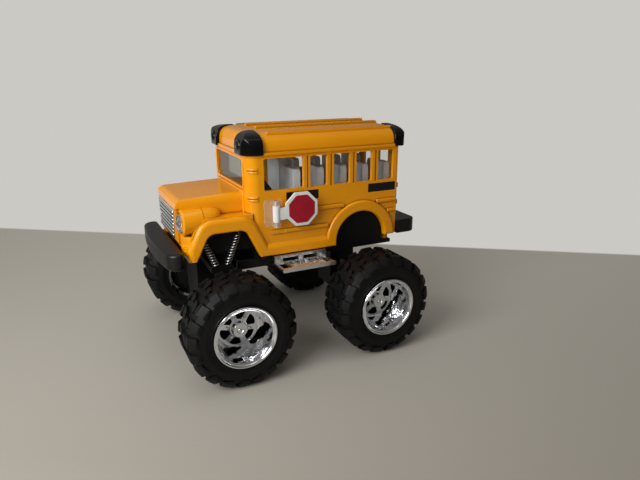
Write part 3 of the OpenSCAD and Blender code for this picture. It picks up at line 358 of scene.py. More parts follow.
# Satin black: a broad soft sheen on the bumpers.
satin_black = moulded("satin_black_abs", "#0a0a0b", "#060607", 5, 0.35, (0.32, 0.42), 0.08,
                      Specular_IOR_Level=0.4)
# Matt black: almost no sheen, so the chassis stays dark under the bright paint.
matt_black = moulded("matt_black_abs", "#090909", "#060606", 5, 0.35, (0.52, 0.64), 0.1,
                     Specular_IOR_Level=0.25)
# Gloss black: small sharp highlights on the round lamp pods.
gloss_black = moulded("gloss_black_abs", "#070709", "#050506", 6, 2.0, (0.1, 0.18), 0.03,
                      Specular_IOR_Level=0.3)
# Rubber: dull black with a fine grain, so the tread shows by its shade alone.
rubber = moulded("moulded_rubber", "#0b0b0b", "#070708", 4, 0.5, (0.45, 0.65), 0.25,
                 Specular_IOR_Level=0.25)
# Pale grey plastic: an even, soft light tone behind the windows.
grey_abs = moulded("grey_abs", "#e2e4e8", "#d8dade", 5, 0.6, (0.35, 0.5), 0.06, IOR=1.53)
# White plastic: clean and a little glossy.
white_abs = moulded("white_abs", "#f1f1ef", "#e6e6e4", 5, 0.8, (0.25, 0.38), 0.05, IOR=1.53)
# Red print on plastic: a deep flat red.
red_print = moulded("red_printed_abs", "#ac0c28", "#9c0820", 5, 0.8, (0.25, 0.4), 0.05, IOR=1.53)
# Zinc plated steel: a grey metal with a blurred shine.
steel = moulded("zinc_plated_steel", "#c9cacc", "#b3b4b6", 2, 0.4, (0.22, 0.38), 0.1, Metallic=1.0)
# Acetal: the waxy ivory of toy gears.
acetal = moulded("ivory_acetal", "#e9e2cd", "#ddd5bd", 4, 0.6, (0.35, 0.5), 0.05, IOR=1.48)
print("finishes", len(bpy.data.materials))

# %% [markdown]
# ### Clear polystyrene
# The glazing, the lamps' lenses and the sign's bracket are clear mouldings, with small waves from the tool.
# Light bends in them for the eye, but shadows and bounced light pass straight through: a true glass shadow
# would need many more samples to come out clean.

# %% Clear polystyrene
def see_through(name, tint, rough, share):
    material, shader, place = new_material(name, {
        "Base Color": linear(tint), "Transmission Weight": share, "IOR": 1.3})
    wave = add_node(material, "TexNoise", {"Scale": per_mm(8), "Detail": 1.0},
                    {"Vector": place}).outputs["Fac"]
    haze = add_node(material, "MapRange", {"To Min": rough / 3, "To Max": rough}, {"Value": wave}).outputs[0]
    material.node_tree.links.new(haze, shader.inputs["Roughness"])
    path = add_node(material, "LightPath")
    lit = add_node(material, "Math", {"operation": "MAXIMUM"},
                   {0: path.outputs["Is Shadow Ray"], 1: path.outputs["Is Diffuse Ray"]}).outputs[0]
    passing = add_node(material, "BsdfTransparent", {"Color": linear("#f4f6f6")}).outputs[0]
    mixed = add_node(material, "MixShader", {}, {0: lit, 1: shader.outputs[0], 2: passing}).outputs[0]
    material.node_tree.links.new(mixed, material.node_tree.nodes["Material Output"].inputs["Surface"])
    return material


# Clear: almost unseen, with a soft reflection.
clear = see_through("clear_polystyrene", "#f6f8f8", 0.04, 1.0)
# Grey tint: painted shade that makes the cab behind the windscreen look deep.
shade_tinted = see_through("shade_tinted_polystyrene", "#bdbaae", 0.04, 1.0)
# Frosted: a milky edge and a blurred view of the paint behind it.
frosted = see_through("frosted_polystyrene", "#f4f2ec", 0.3, 0.8)
print("clear finishes", clear.name, shade_tinted.name, frosted.name)

# %% [markdown]
# ## A first finish for every piece of the construction
# Each node of the frame takes the finish of its material slot. The pieces modelled later stand in for most of
# them. A new piece is dressed by one function: it is shaded smooth up to an angle, its normals are weighted
# so that flat faces stay flat beside rolled edges, and it is told which body it rides on.

# %% Finish the construction
slot_finish = {
    "yellow_enamel": enamel, "gloss_black_abs": gloss_black, "clear_styrene": clear, "grey_abs": grey_abs,
    "black_abs": satin_black, "chromed_abs": chrome, "plated_steel": steel, "red_abs": red_print,
    "tyre_rubber": rubber, "ivory_acetal": acetal}
slot_of = {row["node"]: row["material_slot"] for row in frame["record"]["subparts"]}
smooth_angle = math.radians(35)


def finish_in(piece, finish):
    piece.data.materials.clear()
    piece.data.materials.append(finish)


def dress(piece, finish, body, *nodes, slot=None):
    only(piece)
    bpy.ops.object.shade_smooth_by_angle(angle=smooth_angle)
    modify(piece, "WEIGHTED_NORMAL", weight=50, keep_sharp=True)
    finish_in(piece, finish)
    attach(piece, body)
    if nodes:
        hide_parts(*nodes)
    return piece


for name, node in frame["nodes"].items():
    finish_in(node, slot_finish[slot_of[name]])
print("slots", sorted(set(slot_of.values())))

# %% [markdown]
# ## Table and wall
# A pale table runs back to a pale wall. A real wall would hide the bus from a camera that goes round it, so
# beyond the wall's foot the table only shows the wall's colour, to the camera and in mirrors and glass. The
# table is paler to the camera than to the light it gives back, so it doesn't tint the bus. To the camera it
# also darkens from the wall's foot towards the front: a painted falloff of light.

# %% Table and wall
wall_way, wall_foot, table_front = Vector((0.564, 0.826, 0)), -137, 110
wall_blur = 1.5
wall_colour = linear("#cbc9c4")
bpy.ops.mesh.primitive_plane_add(size=6)
table_top = settle("table_top")
laminate, shader, place = new_material("painted_table_and_wall", {"Roughness": 0.55})
# A matt paint: soft shadows, no reflections.
reach = add_node(laminate, "VectorMath", {"operation": "DOT_PRODUCT", 1: wall_way},
                 {0: place}).outputs["Value"]
behind = add_node(laminate, "MapRange", {
    "From Min": (wall_foot - wall_blur) * MM, "From Max": (wall_foot + wall_blur) * MM,
    "To Min": 1.0, "To Max": 0.0}, {"Value": reach}).outputs[0]
nearer = add_node(laminate, "MapRange", {"From Min": wall_foot * MM, "From Max": table_front * MM},
                  {"Value": reach}).outputs[0]
mottle = add_node(laminate, "TexNoise", {"Scale": per_mm(60), "Detail": 4.0},
                  {"Vector": place}).outputs["Fac"]
tone = add_node(laminate, "Mix", {"data_type": "RGBA", 6: linear("#a5a198"), 7: linear("#aca89f")},
                {0: mottle})
# Painted falloff of light: to the camera the table darkens from the wall's foot towards the front.
painted_falloff_tone = add_node(laminate, "Mix", {"data_type": "RGBA", 6: linear("#dad5ca"), 7: linear("#a8a298")},
                {0: nearer})
seen = add_node(laminate, "LightPath").outputs
surface = add_node(laminate, "Mix", {"data_type": "RGBA"},
                   {0: seen["Is Camera Ray"], 6: tone.outputs[2], 7: painted_falloff_tone.outputs[2]})
laminate.node_tree.links.new(surface.outputs[2], shader.inputs["Base Color"])
wall_glow = add_node(laminate, "Emission", {"Color": wall_colour, "Strength": 1.0})
direct = add_node(laminate, "Math", {"operation": "MAXIMUM"},
                  {0: seen["Is Camera Ray"], 1: seen["Is Glossy Ray"]})
direct = add_node(laminate, "Math", {"operation": "MAXIMUM"},
                  {0: direct.outputs[0], 1: seen["Is Transmission Ray"]})
far = add_node(laminate, "Math", {"operation": "MULTIPLY"}, {0: behind, 1: direct.outputs[0]})
both = add_node(laminate, "MixShader", {}, {0: far.outputs[0], 1: shader.outputs[0], 2: wall_glow.outputs[0]})
laminate.node_tree.links.new(both.outputs[0], laminate.node_tree.nodes["Material Output"].inputs["Surface"])
table_top.data.materials.append(laminate)
print("wall stands", -wall_foot, "mm behind the middle of the bus")

# %% [markdown]
# ## Room light
# The room lights the bus more from one side than from the other. A picture of a real room could do that, but
# a ramp along one direction is enough for soft shading, and it needs no file. The camera sees the wall's
# colour instead.

# %% Room light
world = bpy.data.worlds.new("soft_room")
bpy.context.scene.world = world
world.use_nodes = True
toward = add_node(world, "TexCoord").outputs["Generated"]
bright_side = Vector((0.85, -0.2, 0.48))
facing = add_node(world, "VectorMath", {"operation": "DOT_PRODUCT", 1: bright_side},
                  {0: toward}).outputs["Value"]
level = add_node(world, "MapRange", {"From Min": -0.6, "From Max": 1.0, "To Min": 0.14, "To Max": 0.66},
                 {"Value": facing}).outputs[0]
looked_at = add_node(world, "LightPath").outputs["Is Camera Ray"]
strength = add_node(world, "Mix", {3: 1.0}, {0: looked_at, 2: level}).outputs[0]
room = world.node_tree.nodes["Background"]
room.inputs["Color"].default_value = wall_colour
world.node_tree.links.new(strength, room.inputs["Strength"])
print("room is brightest towards", tuple(bright_side))

# %% [markdown]
# ## Window and ceiling light
# Two square area lamps stand for a window in front of the bus, to its left, and for a ceiling. They are
# large, so the shadows have soft edges.

# %% Soft lights
def softbox(name, place, target, size, power):
    bpy.ops.object.light_add(type="AREA", location=Vector(place) * MM)
    lamp = bpy.context.object
    lamp.name = name
    lamp.rotation_euler = (Vector(target) - Vector(place)).to_track_quat("-Z", "Y").to_euler()
    lamp.data.shape = "SQUARE"
    lamp.data.size = size * MM
    lamp.data.energy = power
    print(name, power, "W")


softbox("window_light", (250, 150, 190), (10, 0, 50), 190, 0.81)
softbox("ceiling_light", (60, 60, 620), (0, 0, 50), 400, 0.42)

# %% [markdown]
# ## Camera
# The camera stands where the photograph was taken. Its place, its direction and its focal length in pixels
# were worked out from the wheels and the edges of the body, and the focal length is turned into a lens for
# Blender's sensor.

# %% Camera
camera_place, camera_way = Vector((97.4, 239.4, 125.1)), Vector((-0.4238, -0.8545, -0.3004))
focal_pixels, image_width, sensor = 556.5, 640, 36
camera_turn = camera_way.to_track_quat("-Z", "Y").to_euler()
bpy.ops.object.camera_add(location=camera_place * MM, rotation=camera_turn)
camera = bpy.context.object
camera.data.sensor_width = sensor
camera.data.lens = focal_pixels / image_width * sensor
camera.data.clip_start, camera.data.clip_end = 0.01, 20
bpy.context.scene.camera = camera
bpy.context.scene.view_settings.view_transform = "Standard"
print("lens", round(camera.data.lens, 2), "mm")

# %% [markdown]
# ## Rounded outlines
# Many outlines below are straight lines with rounded corners. Each corner is given as a point and a radius,
# and the arc is worked out here, so that a radius can be changed without drawing the outline again.

# %% Rounded outlines
def rounded(corners, steps=6):
    points = []
    for i, (x, y, r) in enumerate(corners):
        if r == 0:
            points.append((x, y))
            continue
        here = Vector((x, y))
        before = (Vector(corners[i - 1][:2]) - here).normalized()
        after = (Vector(corners[(i + 1) % len(corners)][:2]) - here).normalized()
        half_angle = before.angle(after) / 2
        middle = here + (before + after).normalized() * (r / math.sin(half_angle))
        first = here + before * (r / math.tan(half_angle)) - middle
        last = here + after * (r / math.tan(half_angle)) - middle
        start, sweep = math.atan2(first.y, first.x), first.angle_signed(last)
        turns = [start - sweep * k / steps for k in range(steps + 1)]
        points += [tuple(middle + r * Vector((math.cos(t), math.sin(t)))) for t in turns]
    return points


print("a square with round corners has", len(rounded([(0, 0, 1), (9, 0, 1), (9, 9, 1), (0, 9, 1)])), "points")

# %% [markdown]
# ## Tyre tread
# The tread of an off-road tyre is a set of blocks. They could be drawn in a texture, but they show on the
# tyre's edge. One short stretch of blocks is extruded, copied round by a spin, and then cut to the round of
# the tyre by a turned form. The blocks of the two sides are staggered, and two lengths of block alternate.

# %% Tyre tread
tyre_low, tyre_high = [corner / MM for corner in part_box("tyre_front_left")]
tyre_r, tyre_half = (tyre_high.z - tyre_low.z) / 2, (tyre_high.y - tyre_low.y) / 2
pitches, rim_r = 10, 13.2


def crown(top, side):
    right = [(rim_r + 0.1, 1 - side, 0), (rim_r + 3, -side, 1.0), (top - 2.6, 0.2 - side, 1.4),
             (top, 2.6 - side, 1.6)]
    return rounded(right + [(r, -y, corner) for r, y, corner in reversed(right)])


def tread_row():
    blocks = []
    half_pitch, shoulder = math.pi * tyre_r / pitches, tyre_half + 0.4
    for start, length in ((-half_pitch, 0.62), (0, 0.52)):
        a, b = start, start + half_pitch * length * 1.12
        outer = [(a, 6.0), (b - 0.7, 5.2), (b, shoulder), (a + 0.5, shoulder)]
        a, b = start + 1.0, start + half_pitch * length * 0.86
        inner = [(a, 0.5), (b, 1.4), (b + 1.5, 4.4), (a + 2.1, 4.7), (a + 0.2, 3.2)]
        blocks += [outline("block", points, "z", tyre_r - 4.2, tyre_r + 0.4) for points in (outer, inner)]
    return join("left_row", blocks)


left_row = tread_row()
right_row = twin(left_row, "right_row")
pick(right_row, "VERT", anywhere)
bpy.ops.transform.rotate(value=math.pi, orient_axis="Z", center_override=(0, 0, 0))
bpy.ops.transform.rotate(value=math.pi / (2 * pitches), orient_axis="Y", center_override=(0, 0, 0))
leave_edit()
tread = join("tread", [left_row, right_row])
pick(tread, "VERT", anywhere)
bpy.ops.mesh.spin(steps=pitches, angle=2 * math.pi, dupli=True, center=(0, 0, 0), axis=(0, 1, 0))
leave_edit()
pick(tread, "VERT", anywhere)
bpy.ops.mesh.remove_doubles(threshold=weld)
leave_edit()
face_outwards(tread)
combine(tread, turned("crown_form", crown(tyre_r, tyre_half), 144), "INTERSECT")
print("tread faces", len(tread.data.polygons))

# %% [markdown]
# ## Tyres on their wheels
# A tyre is moulded in one piece: the tread is joined to a turned carcass that is a little smaller. One tyre
# is copied to each wheel, turned by a different angle, so that the four don't look stamped. A right wheel is
# a left one turned round, which keeps the outer face outside.

# %% Tyres
tread_depth, side_depth = 1.3, 0.35
wheel_turns = {"front_left": 10, "front_right": 47, "rear_left": 71, "rear_right": 23}


def set_on_wheel(piece, corner, turn):
    low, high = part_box("tyre_" + corner)
    pick(piece, "VERT", anywhere)
    bpy.ops.transform.rotate(value=math.radians(turn), orient_axis="Y", center_override=(0, 0, 0))
    if corner.endswith("right"):
        bpy.ops.transform.rotate(value=math.pi, orient_axis="Z", center_override=(0, 0, 0))
    bpy.ops.transform.translate(value=(low + high) / 2)
    leave_edit()


def wheel_body(corner):
    return corner.split("_")[0] + "_wheels"


def fit_wheels(pattern, finish, word):
    for corner, turn in wheel_turns.items():
        piece = twin(pattern, word + "_" + corner + "_full")
        set_on_wheel(piece, corner, turn)
        dress(piece, finish, wheel_body(corner), word + "_" + corner)
    print(word, "faces", len(pattern.data.polygons))
    bpy.data.objects.remove(pattern)


carcass = turned("tyre", crown(tyre_r - tread_depth, tyre_half - side_depth), 144)
fit_wheels(roll_edges(combine(carcass, tread, "UNION"), 0.18, 2, 40), rubber, "tyre")

# %% [markdown]
# ## Rims
# A plated rim is a deep dish. The barrel is turned, with a beaded lip, and tapers to the face near the
# bottom. Six rounded windows are cut through the face, which leaves six spokes. Cutting is quicker than
# building the spokes, and their roots come out in one piece with the hub and the barrel. The nuts and the hub
# cap stand on the face.

# %% Rim dish
lip = tyre_half
barrel = turned("barrel", [
    (13.0, lip - 1.4), (13.25, lip - 0.5), (13.05, lip - 0.1), (12.6, lip), (12.2, lip - 0.25),
    (12.05, lip - 0.6), (11.75, lip - 0.55), (11.45, lip - 0.75), (11.3, lip - 1.3), (10.8, 6.6), (10.3, 4.2),
    (9.7, 1.8), (9.0, -0.2), (8.6, -1.2), (8.5, -2.8), (11.9, -2.8), (11.9, 1.5 - lip), (13.0, 1 - lip)], 96)
face = turned("face", [
    (0, -2.5), (9.0, -2.5), (9.0, -1.2), (7.6, -1.0), (5.4, -0.5), (4.2, -0.1), (3.5, 0.5), (0, 0.5)], 96)
dish = combine(barrel, face, "UNION")
window_shape = rounded([
    (3.9, -0.9, 0.3), (7.1, -2.8, 0.7), (7.9, 0, 2.0), (7.1, 2.8, 0.7), (3.9, 0.9, 0.3)], 4)
spoke_turns = [math.radians(60 * k) for k in range(6)]
for turn in spoke_turns:
    window = outline("window", window_shape, "z", -12, 12)
    pick(window, "VERT", anywhere)
    bpy.ops.transform.rotate(value=-math.pi / 2, orient_axis="X", center_override=(0, 0, 0))
    bpy.ops.transform.rotate(value=turn + math.radians(30), orient_axis="Y", center_override=(0, 0, 0))
    leave_edit()
    combine(dish, face_outwards(window), "DIFFERENCE")
roll_edges(dish, 0.16, 2, 35)
print("dish faces", len(dish.data.polygons))

# %% [markdown]
# ### Nuts and hub cap
# A nut is a six-sided cylinder primitive with its edges rolled, one on each spoke. The cap is turned, with a
# small dome in the middle of its flat face.

# %% Nuts and hub cap
nut_ring_r, nut_foot, nut_h, nut_r = 4.7, -0.9, 1.3, 0.6


def rod(name, start, end, radius, sides=24):
    start, end = Vector(start) * MM, Vector(end) * MM
    turn = (end - start).to_track_quat("Z", "Y").to_euler()
    bpy.ops.mesh.primitive_cylinder_add(vertices=sides, radius=radius * MM, depth=(end - start).length,
                                        location=(start + end) / 2, rotation=turn)
    return settle(name)


nuts = []
for turn in spoke_turns:
    spot = Vector((nut_ring_r * math.cos(turn), nut_foot, -nut_ring_r * math.sin(turn)))
    nuts.append(roll_edges(rod("nut", spot, spot + Vector((0, nut_h, 0)), nut_r, 6), 0.12, 2))
cap = turned("cap", [
    (0, 0.1), (3.3, 0.1), (3.25, 2.2), (3.1, 2.7), (2.8, 2.95), (1.3, 3.0), (1.1, 3.3), (0.7, 3.55),
    (0, 3.6)], 48)
fit_wheels(join("rim", [dish] + nuts + [cap]), chrome, "rim")

# %% [markdown]
# ### Dark cores
# Behind the spokes a wheel lies in shade. A matt black dish, turned like the barrel, fills the space as
# painted shade. On the rear wheels, which the motor drives, a second disc closes the inner side, also as
# painted shade.

# %% Dark cores
# Painted shade: matt black pieces where the inside of each wheel lies in shade.
shade_core = turned("shade_core", [
    (1.7, -7.0), (8.2, -7.0), (8.6, -5.4), (11.6, -4.3), (11.6, -3.8), (8.4, -4.8), (1.7, -4.8)], 64)
shade_disc_section = [(2, 0.5 - lip), (13.3, 0.5 - lip), (13.3, 0.9 - lip), (11.5, 1.4 - lip), (2, 1.4 - lip)]
for corner in wheel_turns:
    name = "rim_core_" + corner
    piece = twin(shade_core, name)
    if corner.startswith("rear"):
        piece = join(name, [piece, turned("disc", shade_disc_section, 64)])
    set_on_wheel(piece, corner, 0)
    dress(piece, matt_black, wheel_body(corner), slot="black_abs")
bpy.data.objects.remove(shade_core)
print("cores", len(wheel_turns))

# %% [markdown]
# ## Pieces that follow the construction
# A cast or moulded piece has soft edges. A copy of the construction's mesh is welded, its flat faces are
# joined and its edges are rolled over, which is what the die's radius and the paint do. Modelling such a
# piece again would only repeat its measures. The glazing comes first, and then the seats, whose backs get a
# wide roll.

# %% Glazing and seats
def soft_copy(node, name, width):
    piece = bpy.data.objects.new(name, frame["nodes"][node].data.copy())
    bpy.context.scene.collection.objects.link(piece)
    pick(piece, "VERT", anywhere)
    bpy.ops.mesh.remove_doubles(threshold=weld)
    bpy.ops.mesh.dissolve_limited(angle_limit=math.radians(1))
    bpy.ops.mesh.normals_make_consistent(inside=False)
    leave_edit()
    return roll_edges(piece, width, 2, 25) if width else piece


def roll_picked(piece, width, segments, wanted, clamp=False):
    pick(piece, "EDGE", wanted)
    bpy.ops.mesh.bevel(offset=width * MM, segments=segments, affect="EDGES", clamp_overlap=clamp)
    leave_edit()


seat_back_z = 81.0
dress(soft_copy("glazing", "glazing_soft", 0.1), clear, "bus", "glazing")
seats = soft_copy("seat_moulding", "seat_moulding_soft", 0)
roll_picked(seats, 1.7, 5, lambda a, b: max(a.z, b.z) > seat_back_z, clamp=True)
dress(seats, grey_abs, "bus", "seat_moulding")
print("seat faces", len(seats.data.polygons))

# %% [markdown]
# ### Chassis, steps, bracket and carrier
# These need no more than the soft edges. The chassis and the carrier are matt, so they don't mirror the paint
# above.

# %% Chassis, steps, bracket and carrier
for node, width, finish, carried_by in (
        ("dashboard", 0.3, satin_black, "bus"), ("chassis", 0.2, matt_black, "bus"),
        ("side_step_left", 0.15, satin_chrome, "bus"), ("side_step_right", 0.15, satin_chrome, "bus"),
        ("sign_bracket", 0.12, frosted, "bus"), ("front_carrier", 0.2, matt_black, "front_carrier")):
    piece = dress(soft_copy(node, node + "_soft", width), finish, carried_by, node)
    print(piece.name, "faces", len(piece.data.polygons))

# %% [markdown]
# ### Axles
# The hub caps are deep in their dishes, and each axle ends inside them, so the ends of the shafts are cut
# back.

# %% Axles
axle_end = 2.6
for end in ("front", "rear"):
    shaft = soft_copy(end + "_axle", end + "_axle_shaft", 0)
    low, high = [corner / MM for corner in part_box("tyre_" + end + "_left")]
    end_y = (low.y + high.y) / 2 + axle_end
    for side in (1, -1):
        combine(shaft, block("beyond", (-80, side * end_y, 0), (80, side * 60, 60)), "DIFFERENCE")
    dress(shaft, steel, end + "_wheels", end + "_axle")
    print(shaft.name, "ends at", round(end_y, 1), "mm")

# %% [markdown]
# ## Body casting
# Cab, bonnet, wings and rocker band are one zinc casting. It starts as a soft copy too, but the flares and
# the rocker band are a rounded moulding, so their outer edges get a wide roll before the small roll of all
# the others.

# %% Body with rolled flares
body = soft_copy("body_shell", "body_casting", 0)
flare_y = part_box("body_shell")[1].y / MM
roll_picked(body, 1.0, 4, lambda a, b: min(abs(a.y), abs(b.y)) > flare_y - 0.05 and a.y * b.y > 0)
roll_edges(body, 0.28, 2, 28)
print("flares stand out to", round(flare_y, 1), "mm")

# %% [markdown]
# ### Windscreen opening
# The windscreen is one wide opening with round corners, cut through the front of the cab. The same outline, a
# little larger or smaller, makes the frame round it and its pane further down.

# %% Windscreen opening
screen_x, screen_half, screen_low, screen_high = 23.9, 18.3, 76.0, 87.5
screen_corner = 1.8


def panel(half, low, high, corner):
    return rounded([(-half, low, corner), (half, low, corner), (half, high, corner), (-half, high, corner)])


def screen_cut(back, front):
    shape = panel(screen_half, screen_low, screen_high, screen_corner)
    return outline("screen", shape, "x", screen_x - back, screen_x + front)


combine(body, screen_cut(1.6, 1), "DIFFERENCE")
print("windscreen", 2 * screen_half, "by", screen_high - screen_low, "mm")

# %% [markdown]
# ### Cuts beside the bonnet
# The construction has a plain corner where the lamps stand. It is cut away first: in front of the lamps,
# under the wing's tip and above the wing. The posts between the side windows get a shallow groove each.

# %% Cuts beside the bonnet
side_y, window_low, window_high = 24.5, 74.5, 88.0
posts_x = [-3.2 - 11.425 * k for k in range(4)]
lamp_x, lamp_y, lamp_z, tip_z = 51.4, 18.9, 63.5, 48.3
bonnet_y, beyond_x, beyond_y = 15.6, 60, 30
over_flare = [(33.4, 69.4), (33.4, 65.25), (42.4, 65.25), (46.9, 61.4), (49.6, 54), (beyond_x, 54),
              (beyond_x, 69.4)]


def side_cuts(side):
    cuts = [block("set_back", (lamp_x, side * bonnet_y, 54), (beyond_x, side * beyond_y, 69.4)),
            block("tip", (42, side * 20, 40), (beyond_x, side * beyond_y, tip_z)),
            outline("flank", over_flare, "y", side * 18.02, side * beyond_y)]
    for x in posts_x:
        cuts.append(block("groove", (x - 0.3, side * (side_y - 0.45), window_low - 0.2),
                          (x + 0.3, side * (side_y + 1), window_high + 0.2)))
    return cuts


print("posts at", [round(x, 1) for x in posts_x])

# %% [markdown]
# ### Wing shelf and bonnet side
# A shelf that follows the top of the wing, and a wall at the bonnet's side, are joined on where the corner
# was cut away. They are outlines in the side view, because that is where their curve shows.

# %% Wing shelf and bonnet side
shelf = [(34, 65.15), (42.3, 65.15), (46.8, 61.3), (49.5, 54), (50.4, tip_z), (47.6, tip_z), (46.6, 54),
         (44.2, 59.6), (41, 62.6), (34, 63.6)]
inner_wall = [(33, 66), (42.2, 64.8), (46.6, 60.8), (49.2, 53), (lamp_x, 53), (lamp_x, 69), (33, 69)]
for side in (1, -1):
    for tool in side_cuts(side):
        combine(body, tool, "DIFFERENCE")
    combine(body, outline("shelf", shelf, "y", side * bonnet_y, side * 24.9), "UNION")
    combine(body, outline("inner_wall", inner_wall, "y", side * bonnet_y, side * 18.0), "UNION")
dress(body, enamel, "bus", "body_shell")
print("body faces", len(body.data.polygons))

# %% [markdown]
# ### Rolled wings
# The wing over a front wheel is a thick rolled lip that follows the arch. It is the arch's outline grown by
# the lip's width, rolled at its outer edge and cut out again by the arch itself. A bent pipe would be
# quicker, but it would be round inside the arch too.

# %% Rolled wings
arch_x, arch_low, arch_high, arch_foot, arch_head, arch_r = 33.7, 46, 59.0, 14.3, 7.9, 4.5
wing_inner_y, wing_y, wing_lip, wing_low, wing_high = 22.5, 26.03, 6.05, 40, 70


def arch_line(grow):
    slope = (arch_foot - arch_head) / (arch_high - arch_low)
    foot, head = arch_foot + slope * 2 + grow, arch_head + grow * (1 - slope)
    top, corner = arch_high + grow, arch_r + grow / 2
    return rounded([(arch_x - foot, arch_low - 2, 0), (arch_x + foot, arch_low - 2, 0),
                    (arch_x + head, top, corner), (arch_x - head, top, corner)], 10)


def wing_roll(side):
    roll = outline("wing_roll", arch_line(wing_lip), "y", side * wing_inner_y, side * wing_y)
    for back, front, top in ((0, 24, arch_low), (24, beyond_x, tip_z), (50.3, beyond_x, wing_high)):
        tool = block("end", (back, side * 20, wing_low), (front, side * beyond_y, top))
        combine(roll, tool, "DIFFERENCE")
    roll_picked(roll, 2.2, 6, lambda a, b: min(abs(a.y), abs(b.y)) > wing_y - 0.03)
    combine(roll, outline("arch", arch_line(-0.03), "y", side * 20, side * beyond_y), "DIFFERENCE")
    return roll_edges(roll, 0.9, 4, 55)


print("arch points", len(arch_line(0)))

# %% [markdown]
# ### Lamp nacelles and cheeks
# A nacelle is the bulge behind a headlight. It narrows from the lamp towards the windscreen and has a fine
# groove round it. It could be turned, but its middle rises as it goes back, so a disc is extruded ring by
# ring, and each ring is moved and scaled. The cheek fills the corner under the lamp.

# %% Lamp nacelles and cheeks
nacelle_rings = [
    (51.4, 63.5, 4.6), (51.3, 63.5, 5.0), (51.0, 63.5, 5.35), (50.4, 63.5, 5.5), (46, 63.8, 5.2),
    (42.9, 64.2, 4.85), (42.75, 64.2, 4.6), (42.6, 64.2, 4.55), (42.45, 64.2, 4.6), (42.3, 64.25, 4.8),
    (39.5, 64.65, 4.35), (37.4, 65.05, 3.75), (36, 65.4, 2.9), (35.2, 65.7, 1.9), (34.8, 65.9, 0.8)]


def nacelle(y):
    x, z, r = nacelle_rings[0]
    bpy.ops.mesh.primitive_circle_add(vertices=64, radius=r * MM, fill_type="NGON",
                                      location=Vector((x, y, z)) * MM, rotation=(0, math.pi / 2, 0))
    piece = settle("nacelle")
    pick(piece, "FACE", anywhere)
    for (x0, z0, r0), (x1, z1, r1) in zip(nacelle_rings, nacelle_rings[1:]):
        step = Vector((x1 - x0, 0, z1 - z0)) * MM
        bpy.ops.mesh.extrude_region_move(TRANSFORM_OT_translate={"value": step})
        bpy.ops.transform.resize(value=(1, r1 / r0, r1 / r0), center_override=Vector((x1, y, z1)) * MM)
    leave_edit()
    return face_outwards(piece)


def cheek(side):
    plan = [(lamp_x - 0.1, bonnet_y), (lamp_x - 0.1, 19.2), (49.6, 24.2), (46, 24.2), (46, bonnet_y)]
    piece = outline("cheek", [(x, side * y) for x, y in plan], "z", tip_z + 1, 58.6)
    return roll_edges(piece, 0.9, 4, 40)


wing_pieces = []
for side in (1, -1):
    wing_pieces += [cheek(side), wing_roll(side), nacelle(side * lamp_y)]
print("wing pieces", len(wing_pieces))

# %% [markdown]
# ### Rings and hinges
# Small raised details are cast with the body: two pairs of rings round each front corner pillar, and the
# hinges of the rear door. A ring is a torus primitive cut off by two planes, so only the stretch round the
# corner is left.

# %% Rings and hinges
corner_r, ring_r, tail_x, hinge_r, hinge_h = 5.0, 0.6, -50.1, 0.75, 2.2


def pillar_ring(side, z):
    middle = Vector((screen_x - corner_r, side * (side_y - corner_r), z)) * MM
    bpy.ops.mesh.primitive_torus_add(major_radius=corner_r * MM, minor_radius=ring_r * MM, major_segments=96,
                                     minor_segments=10, location=middle)
    piece = settle("ring")
    for way in ((-0.5, side * 0.866, 0), (0.985, side * -0.174, 0)):
        pick(piece, "FACE", anywhere)
        bpy.ops.mesh.bisect(plane_co=middle, plane_no=way, use_fill=True, clear_inner=True)
        leave_edit()
    return piece


details = []
for side in (1, -1):
    details += [pillar_ring(side, z) for z in (83.9, 82.6, 72.0, 70.8)]
    for z in (70.9, 62.8):
        low = Vector((tail_x - 0.1, side * (side_y - 1.4), z - hinge_h / 2))
        details.append(roll_edges(rod("hinge", low, low + Vector((0, 0, hinge_h)), hinge_r), 0.25, 3))
print("rings and hinges", len(details))

# %% [markdown]
# ### Rub rails, screen frame and cowl ridge
# The rails along the sides, the frame round the windscreen and the ridge below it stand about a millimetre
# proud. All the cast details are joined into one piece and take the body's enamel.

# %% Rub rails, screen frame and cowl ridge
rail_h, frame_w = 1.7, 1.1
rails = [(-21.1, 6.8, 63.8), (-13.1, 8.2, 55.5), (-48.9, -38.1, 63.8), (-48.9, -44.1, 58.8)]
for side in (1, -1):
    for back, front, z in rails:
        low, high = (back, side * (side_y - 0.4), z), (front, side * (side_y + 0.95), z + rail_h)
        details.append(roll_edges(block("rub_rail", low, high), 0.55, 4))
frame_shape = panel(screen_half + frame_w, screen_low - frame_w, screen_high + frame_w, 2.4)
screen_frame = outline("screen_frame", frame_shape, "x", screen_x - 0.4, screen_x + 0.4)
combine(screen_frame, screen_cut(2, 2), "DIFFERENCE")
details.append(roll_edges(screen_frame, 0.25, 3, 40))
cowl = outline("cowl_ridge", panel(18.9, 60, 74.5, 3), "x", screen_x - 0.6, screen_x + 0.7)
details.append(roll_edges(cowl, 0.45, 4, 50))
cast_details = dress(join("cast_details", details + wing_pieces), enamel, "bus", slot="yellow_enamel")
print("cast details faces", len(cast_details.data.polygons))

# %% [markdown]
# ### Windscreen pane
# The pane is a thin sheet a little behind the frame, in a gap so fine that it doesn't show.

# %% Windscreen pane
pane_gap, pane_back, pane_front = 0.05, 0.9, 0.5
pane_low, pane_high = screen_low + pane_gap, screen_high - pane_gap
pane_shape = panel(screen_half - pane_gap, pane_low, pane_high, screen_corner - pane_gap)
pane = outline("windscreen_pane", pane_shape, "x", screen_x - pane_back, screen_x - pane_front)
# The pane's grey tint is painted shade in the cab behind it.
dress(roll_edges(pane, 0.06, 2, 40), shade_tinted, "bus", slot="clear_styrene")
print("pane faces", len(pane.data.polygons))

